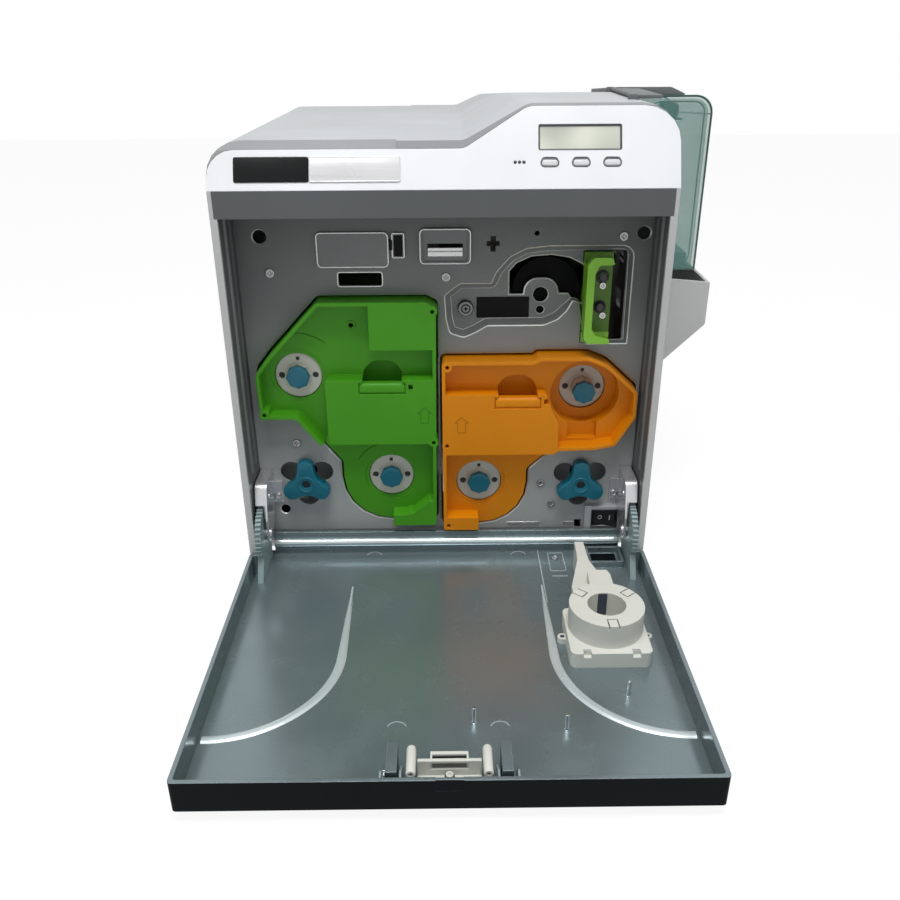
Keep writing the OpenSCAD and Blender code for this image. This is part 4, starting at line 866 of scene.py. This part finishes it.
class CARDPRINTER_OT_hinges(bpy.types.Operator):
    """Finishes the hinge brackets, pins and dampers"""
    bl_idname = "card_printer.hinges"
    bl_label = "Hinges"

    def execute(self, context):
        dress(metal("hinge steel", (0.60, 0.60, 0.62), 0.24, metallic=0.75), "hinge_brackets", "hinge_pins")
        dress(plastic("damper plastic", (0.02, 0.02, 0.022), 0.35), "left_damper", "right_damper")
        bm = bmesh.new()
        for side in (-1, 1):
            screw(bm, side * 123.2, 53, 2.6, PLATE_Y - 1.5, 1.2)
        piece("hinge_screws", bm, metal("hinge screw steel", (0.5, 0.5, 0.51), 0.2), "chassis", 30)
        return {"FINISHED"}


class CARDPRINTER_OT_door(bpy.types.Operator):
    """Makes the front door's ridges, pins and moulding marks"""
    bl_idname = "card_printer.door"
    bl_label = "Front door"

    def execute(self, context):
        c = colours()
        z = FLOOR_Z
        # the outer faces are near black, the inside and the lip blue grey
        inner = metal("door inside", c.door, 0.24, metallic=0.55, mottle=0.05, flake=0.15, edge=0.0006)
        dress(inner, "front_door")
        outer = plastic("door outside", (0.0022, 0.0038, 0.005), 0.5, depth=0.03, edge=0.0003, specular=0.06)
        paint("front_door", outer,
              lambda p, n: n.z < 0.5 and (abs(p.x) > 139.2 or p.y < LIP_Y + 0.3 or p.z < 8.2))
        # and the two blocks beside the latch are in shade
        dark = metal("door shade", shade(c.door, 0.3), 0.35, metallic=0.2, edge=0.0004)
        paint("front_door", dark, lambda p, n: 26 < abs(p.x) < 32.5 and p.y < -185 and 11 < p.z < 25)
        dress(plastic("gear plastic", (0.26, 0.34, 0.35), 0.36, edge_wear_highlight_tone=1.6), "door_gears")

        # broad low ridges that sweep round both front corners of the floor, then run out towards the hinge
        # the ridges and the marks below are painted much paler than the door: a painted highlight
        pale = metal("ridge shine", (0.55, 0.62, 0.64), 0.26, metallic=0.3, depth=0.004, edge=0)
        bm = bmesh.new()
        cx, cy, middle = 136, -95, 70
        for side in (-1, 1):
            path = [[(cx - r * math.sin(a), cy - r * math.cos(a), h) for r, h in RIDGE]
                    for a in (math.radians(2.5 * i) for i in range(37))]
            path += [[(cx - middle - (r - middle) * (1 - j / 9), cy + 12.5 * j, h) for r, h in RIDGE]
                     for j in range(1, 7)]
            rows = [[bm.verts.new(at(side * u, w, z + h)) for u, w, h in row] for row in path]
            for p, q in zip(rows, rows[1:]):
                for k in range(len(RIDGE) - 1):
                    bm.faces.new((p[k], p[k + 1], q[k + 1], q[k]))
        piece("door_ridges", bm, pale, "front_door", 60)

        # marks of the moulding tool and the step below the hinge, in the same pale finish: a painted
        # highlight
        bm = bmesh.new()
        for u, w, r, a0, a1 in DOOR_ARCS:
            slab(bm, crescent(u, w, r, 0.5, a0, a1, 18), z - 0.1, z + 0.16, place_top)
        slab(bm, round_rect(67.4, -40.0, 68.1, 27.0, 0.3, 2), z - 0.1, z + 0.3, place_top, bevel=0.1)
        band(bm, corners_of(74.5, -1.6, 86.0, 22.7, 1.5), 0.5, z - 0.1, z + 0.3, place_top, 0.1)
        slab(bm, round_rect(75.0, -8.4, 86.0, -7.7, 0.3, 2), z - 0.1, z + 0.3, place_top, bevel=0.1)
        piece("door_marks", bm, pale, "front_door", 40)
        # the rolled edge along the hinge, painted paler than the door: a painted highlight along the roll
        bm = bmesh.new()
        tube(bm, [(-127.5, 27.4, 18.6), (127.5, 27.4, 18.6)], 3.3, 24)
        rolled = metal("rolled edge", (0.50, 0.57, 0.59), 0.2, metallic=0.8, edge=0)
        piece("door_rolled_edge", bm, rolled, "front_door", 60)
        # the lip in front of the latch, and the dark slot in the box by the hinge
        bm = bmesh.new()
        slab(bm, round_rect(-7.2, 19.4, 7.2, 26.68, 0.2, 1), LIP_Y - 0.48, LIP_Y)
        slab(bm, round_rect(106, 11.5, 124, 20.5, 0.6, 2), z + 0.05, z + 0.35, place_top)
        piece("door_lip", bm, outer, "front_door")
        bm = bmesh.new()
        slab(bm, round_rect(-7.2, 19.4, 7.2, 26.69, 0.2, 1), LIP_Y, LIP_Y + 1.7)
        piece("door_lip_inside", bm, inner, "front_door")
        bm = bmesh.new()
        screw(bm, 79.4, 15.1, 2.6, z, 1.3, place_top, -1)
        piece("door_screw", bm, metal("door screw steel", (0.5, 0.5, 0.52), 0.22), "front_door", 30)
        bm = bmesh.new()
        for u, w in DOOR_PINS:
            profile = [(1.7, z), (1.3, z + 0.8), (1.24, z + 9.0), (0.9, z + 9.7), (0, z + 9.8)]
            turned(bm, profile, u, w, 16, place_top)
        piece("door_pins", bm, metal("pin steel", (0.62, 0.66, 0.68), 0.18), "front_door", 30)
        return {"FINISHED"}


class CARDPRINTER_OT_latch(bpy.types.Operator):
    """Makes the latch with its posts, springs and screw, and finishes the tag reader"""
    bl_idname = "card_printer.latch"
    bl_label = "Latch and tag reader"

    def execute(self, context):
        c = colours()
        cream = plastic("cream plastic", c.cream, 0.46, depth=0.02)
        dark = plastic("shadow plastic", (0.02, 0.028, 0.033), 0.4)
        dress(cream, "latch_bracket", "tag_reader", "reader_arm")
        y, z = LATCH_Y, FLOOR_Z

        # two round-ended rods beside the latch, each on a web
        rod_z, web_top = 27.1, 26.3
        bm = bmesh.new()
        rod = ((1.1, 2), (1.1, 0.8), (2.2, 0.6), (2.5, 1.1), (2.5, 17.5), (2.17, 18.75), (1.25, 19.67),
               (0, 20))
        for side in (-1, 1):
            x = side * 19.5
            turned(bm, [(r, y + d) for r, d in rod], x, rod_z, 28)
            web = round_rect(y + 2.2, z, y + 17.4, web_top, 1.0, 3)
            slab(bm, web, x - 1.5, x + 1.5, place_side, bevel=0.4)
        piece("latch_posts", bm, cream, "front_door", 50, "latch_bracket")
        # the sliding yoke: a windowed wall and bar, two cheeks, the slotted deck and the thumb piece
        wide = 16.6
        bm = bmesh.new()
        slab(bm, round_rect(-wide, z + 2, wide, z + 13.4, 0.6, 3), y + 13.0, y + 15.0,
             holes=[round_rect(-9.7, z + 7.8, 9.7, z + 11.9, 0.3, 2)], bevel=0.3)
        slab(bm, round_rect(-9.9, z + 12.4, 9.9, z + 14.1, 0.5, 3), y + 17.2, y + 19.4, bevel=0.4)
        for side in (-1, 1):
            cheek = round_rect(y + 14, z + 2, y + 19.2, z + 13.8, 0.6, 3)
            slab(bm, cheek, side * 9.4 - 0.5, side * 9.4 + 0.5, place_side, bevel=0.1)
        slab(bm, round_rect(-wide, y + 0.4, wide, y + 14, 0.5, 3), z + 1.95, z + 3.9, place_top,
             [round_rect(-3, y + 1.3, 3, y + 11.2, 0.5, 2)], 0.1)
        slab(bm, round_rect(-6, z + 2, 6, z + 13, 0.6, 3), y + 0.4, y + 1.3, bevel=0.2)
        piece("latch_yoke", bm, cream, "door_latch", 50, "door_latch")
        # dark sheets in the yoke's window and behind it: painted shade
        bm = bmesh.new()
        slab(bm, round_rect(-9.8, z + 7.7, 9.8, z + 12.0, 0.3, 2), y + 14.2, y + 14.9)
        slab(bm, round_rect(-9.0, z + 5.0, 9.0, z + 12.6, 0.3, 2), y + 18.3, y + 18.9)
        finish = plastic("latch shade", (0.16, 0.16, 0.145), 0.5)
        piece("latch_slot_shade", bm, finish, "door_latch")
        # the screw in the deck's slot, with its toothed collar, near black as painted shade in the slot
        bm = bmesh.new()
        star = [(r * math.cos(math.pi * i / 14), y + 8 + r * math.sin(math.pi * i / 14))
                for i, r in enumerate((2.1, 2.65) * 14)]
        slab(bm, star, z, z + 8.6, place_top, bevel=0.12)
        piece("latch_screw_collar", bm, dark, "front_door")
        bm = bmesh.new()
        screw(bm, 0, y + 8, 2.0, z + 8.6, 1.2, place_top, -1)
        piece("latch_screw", bm, cream, "front_door")

        # ribs beside the rods, with the ends of the latch's springs
        bm = bmesh.new()
        for side in (-1, 1):
            for x, reach in ((24.9, 18), (35.0, 14)):
                rib = [(y + 0.5, z, 0.2), (y + reach, z, 0.2), (y + reach, z + 6, 2), (y + 7, z + 13.6, 2),
                       (y + 0.5, z + 13.6, 0.5)]
                slab(bm, rounded(rib, 3), side * x - 0.6, side * x + 0.6, place_side, bevel=0.2)
        finish = plastic("rib plastic", shade(c.door, 1.5), 0.3, sheen=0.4)
        piece("latch_ribs", bm, finish, "front_door")
        bm = bmesh.new()
        for x, y0, z0 in ((-33.6, y + 7.0, z + 9.0), (29.6, y + 23.5, z + 9.5)):
            tube(bm, coil(x, y0, z0, 1.1, 3.5, 1.0), 0.32, 6)
        piece("latch_springs", bm, metal("spring steel", (0.75, 0.75, 0.76), 0.15), "front_door", 60)

        # the reader: dark sheets of painted shade round the clips, in the ears' holes and in the bore's slot
        cx, cy = READER
        bm = bmesh.new()
        for x in (-15, 15):
            slab(bm, round_rect(cx + x - 2.6, z + 7.3, cx + x + 2.6, z + 10.6, 0.2, 1), cy - 24.4, cy - 23.9)
        for x in (-27, 27):
            slab(bm, circle(cx + x, cy - 2, 1.5, 16), z + 3.9, z + 4.06, place_top)
        slab(bm, round_rect(cx - 3.4, z + 2.5, cx + 2.4, READER_TOP - 0.6, 0.3, 2), cy + 11.2, cy + 12.1)
        finish = plastic("slot shade", (0.045, 0.055, 0.085), 0.4)
        piece("reader_shade_sheets", bm, finish, "front_door")
        return {"FINISHED"}


class CARDPRINTER_OT_cassettes(bpy.types.Operator):
    """Finishes the two cassettes, their arrows, and their spools with the caps"""
    bl_idname = "card_printer.cassettes"
    bl_label = "Cassettes"

    def execute(self, context):
        c = colours()
        green = plastic("green plastic", c.green, 0.4, depth=0.02, edge_wear_highlight_tone=2.6, specular=0.25)
        orange = plastic("orange plastic", c.orange, 0.4, depth=0.02, edge_wear_highlight_tone=1.6, specular=0.25)
        dress(green, "green_cassette")
        dress(orange, "orange_cassette")
        white = plastic("spool plastic", c.spool, 0.42, mottle=0.12)
        dress(white, *(name + "_spool" for name in SPOOLS))
        dress(metal("spindle steel", (0.55, 0.55, 0.56), 0.28), *(name + "_spindle" for name in SPOOLS))

        # moulded lines: an arrow on each block and arcs round the green spools, painted darker as painted
        # shade
        marks = (("green", c.green, -14.6, 121.0, GREEN_ARCS), ("orange", c.orange, 11.0, 113.4, ()))
        block_y, rim_y = 24.9, 36.7      # fronts of the blocks and of the rims round the spools
        for name, colour, x, z, lines in marks:
            body = name + "_cassette"
            bm = bmesh.new()
            band(bm, [(x + u, z + w, 0.2) for u, w in ARROW], 0.42, block_y, block_y + 0.2)
            for cx, cz, r, a0, a1 in lines:
                slab(bm, crescent(cx, cz, r, 0.6, a0, a1, 16), rim_y, rim_y + 0.5, bevel=0.08)
            line = plastic(body + " line", shade(colour, 0.5), 0.45, edge=0, specular=0.2)
            piece(body + "_marks", bm, line, body)

        teal = plastic("cap teal", c.teal, 0.32, depth=0.03, edge_wear_highlight_tone=1.7, mottle=0.12)
        for name, (x, z, front, stand) in SPOOLS.items():
            body, tip = name + "_spool", front - stand
            bm = bmesh.new()
            slab(bm, circle(x, z, 8.2, 8), tip - 0.35, tip + 4.5, bevel=0.7)
            lid = [(6.3, -0.36), (6.1, -0.5), (5.7, -0.5), (5.5, -0.3), (0, -0.3)]
            turned(bm, [(r, tip + d) for r, d in lid], x, z, 28)
            piece(name + "_cap", bm, teal, body)
            # black discs in the flange's two holes and its key notch: painted shade
            bm = bmesh.new()
            for side in (-1, 1):
                slab(bm, circle(x + 11.6 * side, z, 2.1, 18), front + 0.7, front + 1.15)
            slab(bm, round_rect(x - 1.1, z + 10.9, x + 1.1, z + 13.3, 0.3, 2), front + 0.2, front + 0.55)
            piece(name + "_hole_shade", bm, plastic("hole black", (0.02, 0.02, 0.02), 0.6), body)
            bm = bmesh.new()
            turned(bm, [(5.6, tip + 4.2), (5.8, front + 0.1)], x, z, 32)
            for steps, ring in RINGS:
                turned(bm, [(r, front + d) for r, d in ring], x, z, steps)
            piece(name + "_rings", bm, white, body)
        return {"FINISHED"}


class CARDPRINTER_OT_dials(bpy.types.Operator):
    """Makes the two locking dials"""
    bl_idname = "card_printer.dials"
    bl_label = "Dials"

    def execute(self, context):
        teal = plastic("dial teal", colours().teal, 0.33, depth=0.03, edge_wear_highlight_tone=1.7, mottle=0.1)
        black = plastic("socket black", (0.006, 0.007, 0.008), 0.4)
        for name, (x, z) in DIALS.items():
            outline = [(x + r * math.cos(math.radians(a + t)), z + r * math.sin(math.radians(a + t)))
                       for a in (90, 210, 330) for t, r in LOBE]
            bm = bmesh.new()
            face, back = 29, 37
            slab(bm, outline, face, back, holes=[circle(x, z, 3.3, 6)], bevel=1.3)
            collar = ((6.4, 0.02), (6.2, -0.4), (5.2, -0.4), (4.9, 0.02))
            turned(bm, [(r, face + d) for r, d in collar], x, z, 32)
            piece(name + "_body", bm, teal, name, 50, name)
            # a black core in the dial's middle hole: painted shade in the socket
            bm = bmesh.new()
            slab(bm, circle(x, z, 3.4, 24), face + 2.0, back - 0.5)
            piece(name + "_socket_shade", bm, black, name)
        return {"FINISHED"}


class CARDPRINTER_OT_cartridge(bpy.types.Operator):
    """Finishes the cleaning cartridge with its bores, screws and rollers"""
    bl_idname = "card_printer.cartridge"
    bl_label = "Cleaning cartridge"

    def execute(self, context):
        lime = colours().lime
        dress(plastic("lime plastic", lime, 0.34, depth=0.02, edge_wear_highlight_tone=1.6), "cleaning_cartridge")
        # the sunk faces are painted darker than the lime: painted shade in the recess
        sunk = plastic("lime shade", shade(lime, 0.42), 0.4, depth=0.02)
        paint("cleaning_cartridge", sunk, lambda p, n: n.y < -0.5 and p.y > CARTRIDGE_Y - 0.5)
        dress(rubber("cleaning rubber", (0.55, 0.55, 0.52), 0.6), "cleaning_roller")
        dress(rubber("tape rubber", (0.05, 0.05, 0.055), 0.6), "tape_roller")
        y = CARTRIDGE_Y
        bm = bmesh.new()
        for x, z in ROLLERS.values():
            turned(bm, [(4.5, y + 0.02), (4.4, y - 0.3), (3.2, y - 0.3), (3.15, y + 0.02)], x, z, 28)
        finish = plastic("bore black", (0.01, 0.01, 0.01), 0.5)
        piece("cartridge_bores", bm, finish, "cleaning_cartridge")
        bm = bmesh.new()
        for x, z in CARTRIDGE_SCREWS:
            screw(bm, x, z, 2.3, y, 1.6)
        finish = metal("cartridge screw steel", (0.5, 0.5, 0.5), 0.2)
        piece("cartridge_screws", bm, finish, "cleaning_cartridge", 30)
        for name, (x, z) in ROLLERS.items():
            bm = bmesh.new()
            dome(bm, x, z, 3.0, y - 4, 0.5)
            piece(name + "_end", bm, plastic("roller end", (0.03, 0.03, 0.03), 0.3), name)
        return {"FINISHED"}


class CARDPRINTER_OT_switch(bpy.types.Operator):
    """Finishes the power switch and its two marks"""
    bl_idname = "card_printer.switch"
    bl_label = "Power switch"

    def execute(self, context):
        dress(metal("switch silver", (0.50, 0.51, 0.52), 0.35, metallic=0.4), "switch_housing")
        dress(plastic("rocker plastic", (0.012, 0.012, 0.013), 0.25), "power_rocker")
        bm = bmesh.new()
        band(bm, corners_of(107.2, 26.3, 126.8, 41.3, 0.6), 0.9, 32.2, 32.8, bevel=0.15)
        finish = plastic("bezel black", (0.015, 0.015, 0.016), 0.3)
        piece("switch_bezel", bm, finish, "chassis")

        # off and on: the rocker's faces lean, so the marks lean with them
        def off_face(u, w, d):
            return at(u, 34.0 + (u - 108.9) * 0.136 - 0.1 + d, w)

        def on_face(u, w, d):
            return at(u, 35.1 - (u - 117.0) * 0.383 - 0.1 + d, w)

        bm = bmesh.new()
        slab(bm, circle(114.2, 33.6, 1.6, 20), 0, 0.12, off_face, [circle(114.2, 33.6, 1.1, 20)])
        slab(bm, [(120.9, 31.9), (121.5, 31.9), (121.5, 35.7), (120.9, 35.7)], 0, 0.12, on_face)
        piece("switch_marks", bm, plastic("mark white", (0.7, 0.7, 0.7), 0.5), "power_rocker")
        return {"FINISHED"}


class CARDPRINTER_OT_rear(bpy.types.Operator):
    """Finishes the sockets at the rear"""
    bl_idname = "card_printer.rear"
    bl_label = "Rear sockets"

    def execute(self, context):
        dress(plastic("socket plastic", (0.02, 0.02, 0.02), 0.4), "power_inlet")
        dress(metal("socket steel", (0.6, 0.6, 0.6), 0.25), "data_ports")

        # the tongue of the square socket and the contacts of the flat one
        bm = bmesh.new()
        slab(bm, round_rect(43.8, 35.6, 49.2, 39.4, 0.3, 2), REAR_Y - 11.9, REAR_Y - 2.4, bevel=0.3)
        finish = plastic("tongue plastic", (0.55, 0.55, 0.52), 0.5)
        piece("socket_tongue", bm, finish, "chassis")
        bm = bmesh.new()
        for i in range(8):
            x = 65.9 + i * 1.17
            slab(bm, round_rect(x - 0.25, 40.2, x + 0.25, 42.4, 0.1, 1), REAR_Y - 13.9, REAR_Y - 4.0)
        piece("socket_contacts", bm, metal("contact gold", (0.75, 0.52, 0.2), 0.25), "chassis")
        return {"FINISHED"}


class CARDPRINTER_OT_card_boxes(bpy.types.Operator):
    """Finishes the card hopper and the output pocket"""
    bl_idname = "card_printer.card_boxes"
    bl_label = "Card boxes"

    def execute(self, context):
        c = colours()
        dress(plastic("pocket plastic", (0.46, 0.465, 0.465), 0.48, depth=0.05), "output_pocket")
        cap = plastic("cap plastic", (0.13, 0.14, 0.14), 0.62, depth=0.04)
        dress(plastic("dark green plastic", (0.02, 0.055, 0.045), 0.4), "hopper_frame", "card_weight")
        t = Tree("smoked plastic")
        t.set(Base_Color=t.blend(t.span(t.noise(16, 2), 0, 1), shade(c.smoke, 0.9), shade(c.smoke, 1.1)))
        t.set(Roughness=t.span(t.noise(40, 3), 0.06, 0.13), Alpha=0.38)
        t.set(Normal=t.bump(t.noise(200, 2), 0.01 * MM, 0.3))
        dress(t.mat, "hopper_cover")

        sloped("hopper_cover", "hopper_cover", lambda p: p.z > BOX_LOW, BOX_LOW)

        # the cap: level where it hinges, then falling with the top
        under, top, pin_x, wing_x = TOP_Z + 0.25, 325.65, 118, 136
        bm = bmesh.new()
        slab(bm, round_rect(pin_x, under, wing_x, 324.9, 0.3, 2), 50, LEVEL_Y, place_falling, bevel=0.4)
        slab(bm, round_rect(122.8, under, wing_x, top, 0.3, 2), 124.6, 129.0, place_falling)
        plate = [(121.2, under, 0.3), (135, under, 0.3), (135, 320.4, 0.3), (172, 320.4, 0.5), (160, top, 4),
                 (121.2, top, 0.4)]
        slab(bm, rounded(plate, 4), 128.8, 237, place_falling, bevel=0.4)
        tube(bm, [(pin_x + 0.2, 50, PIN_Z), (pin_x + 0.2, LEVEL_Y, PIN_Z)], 1.48, 16)
        piece("hopper_cap_shape", bm, cap, "hopper_cover", instead="hopper_cap")
        # a dark sheet for the slot in the cap: painted shade
        bm = bmesh.new()
        slab(bm, round_rect(126, 150, 152, 160, 3, 4), 325.55, 325.78, lambda u, w, d: place_falling(u, d, w))
        finish = plastic("cap shade", (0.05, 0.052, 0.055), 0.6)
        piece("hopper_cap_slot_shade", bm, finish, "hopper_cover")
        bm = bmesh.new()
        tube(bm, [(pin_x, 47, PIN_Z), (pin_x, 128.3, PIN_Z)], 0.8, 12)
        for y in (46.7, 125.3):
            slab(bm, round_rect(pin_x - 4, 322.3, pin_x + 2, 325.7, 1.2, 3), y, y + 3, bevel=0.3)
        piece("hopper_hinge_shape", bm, cap, "chassis", instead="hopper_hinge")

        # the light held in the edges makes them dark green
        edge = plastic("hopper edge", (0.012, 0.05, 0.038), 0.2, edge=0)
        bm = bmesh.new()
        right, low, r = 189.3, BOX_LOW + 0.1, 12
        for y, top in ((125.6, 319.6), (236.4, 312.8)):
            path = [(145.4, y, low), (right, y, low), (right, y, top - r)]
            path += [(u, y, w) for u, w in arc(right - r, top - r, r, 0, 90, 9)[1:]]
            path += [(142.0, y, top)]
            tube(bm, path, 0.75, 8)
        for x, z0, z1 in ((right, low, low), (right, 307.6, 300.8), (right - r, 319.6, 312.8)):
            tube(bm, [(x, 126, z0), (x, 236, z1)], 0.5, 6)
        piece("hopper_edges", bm, edge, "hopper_cover")
        # the inner frame that holds the cards
        bm = bmesh.new()
        band(bm, corners_of(146.5, 199.5, 186.4, 316, 8), 0.9, 131.2, 131.8, bevel=0.15)
        slab(bm, round_rect(150, 303.2, 171, 304.4, 0.4, 2), 132, 150, bevel=0.2)
        slab(bm, round_rect(156, 304.4, 168, 314.5, 3, 4), 133, 147, bevel=0.6)
        finish = plastic("stop plastic", (0.004, 0.02, 0.018), 0.25)
        piece("hopper_stop", bm, finish, "hopper_cover")
        return {"FINISHED"}


class CARDPRINTER_OT_inside(bpy.types.Operator):
    """Finishes the rollers, the shaft's end, the board and the motor inside"""
    bl_idname = "card_printer.inside"
    bl_label = "Inside"

    def execute(self, context):
        dress(rubber("roller rubber", (0.0025, 0.0025, 0.003), 0.6, 0.0008, 0.06), "heat_roller")
        dress(plastic("shaft plastic", (0.012, 0.012, 0.013), 0.3), "platen_shaft")
        dress(plastic("board", (0.006, 0.07, 0.02), 0.5), "main_board")
        dress(metal("motor steel", (0.4, 0.4, 0.41), 0.35), "drive_motor")
        x, z = SHAFT
        bm = bmesh.new()
        turned(bm, [(4.9, 39.52), (4.7, 39.1), (3.4, 39.1), (3.2, 39.45)], x, z, 32)
        screw(bm, x, z, 2.4, 39.5, 0.7)
        piece("shaft_end", bm, metal("shaft steel", (0.16, 0.16, 0.165), 0.3), "platen_shaft", 30)
        return {"FINISHED"}


OPERATORS = (
    CARDPRINTER_OT_stage, CARDPRINTER_OT_covers, CARDPRINTER_OT_panel, CARDPRINTER_OT_front_plate,
    CARDPRINTER_OT_hinges, CARDPRINTER_OT_door, CARDPRINTER_OT_latch, CARDPRINTER_OT_cassettes,
    CARDPRINTER_OT_dials, CARDPRINTER_OT_cartridge, CARDPRINTER_OT_switch, CARDPRINTER_OT_rear,
    CARDPRINTER_OT_card_boxes, CARDPRINTER_OT_inside,
)


class CARDPRINTER_PT_sidebar(bpy.types.Panel):
    """Lists the printer's colours, sizes and stage, and the operators that make it"""
    bl_idname = "CARDPRINTER_PT_sidebar"
    bl_label = "Card Printer"
    bl_space_type = "VIEW_3D"
    bl_region_type = "UI"
    bl_category = "Card Printer"

    def draw(self, context):
        scene = context.scene
        for group in (scene.card_printer_colours, scene.card_printer_sizes, scene.card_printer_stage):
            box = self.layout.box()
            for key in group.__annotations__:
                box.prop(group, key)
        for op in OPERATORS:
            self.layout.operator(op.bl_idname)


GROUPS = (CARDPRINTER_PG_colours, CARDPRINTER_PG_sizes, CARDPRINTER_PG_stage)
CLASSES = GROUPS + OPERATORS + (CARDPRINTER_PT_sidebar,)


def register():
    for cls in CLASSES:
        bpy.utils.register_class(cls)
    bpy.types.Scene.card_printer_colours = PointerProperty(type=CARDPRINTER_PG_colours)
    bpy.types.Scene.card_printer_sizes = PointerProperty(type=CARDPRINTER_PG_sizes)
    bpy.types.Scene.card_printer_stage = PointerProperty(type=CARDPRINTER_PG_stage)


def unregister():
    del bpy.types.Scene.card_printer_stage
    del bpy.types.Scene.card_printer_sizes
    del bpy.types.Scene.card_printer_colours
    for cls in reversed(CLASSES):
        bpy.utils.unregister_class(cls)


def main():
    register()
    for op in OPERATORS:
        getattr(bpy.ops.card_printer, op.bl_idname.split(".")[1])()


if __name__ == "__main__":
    main()
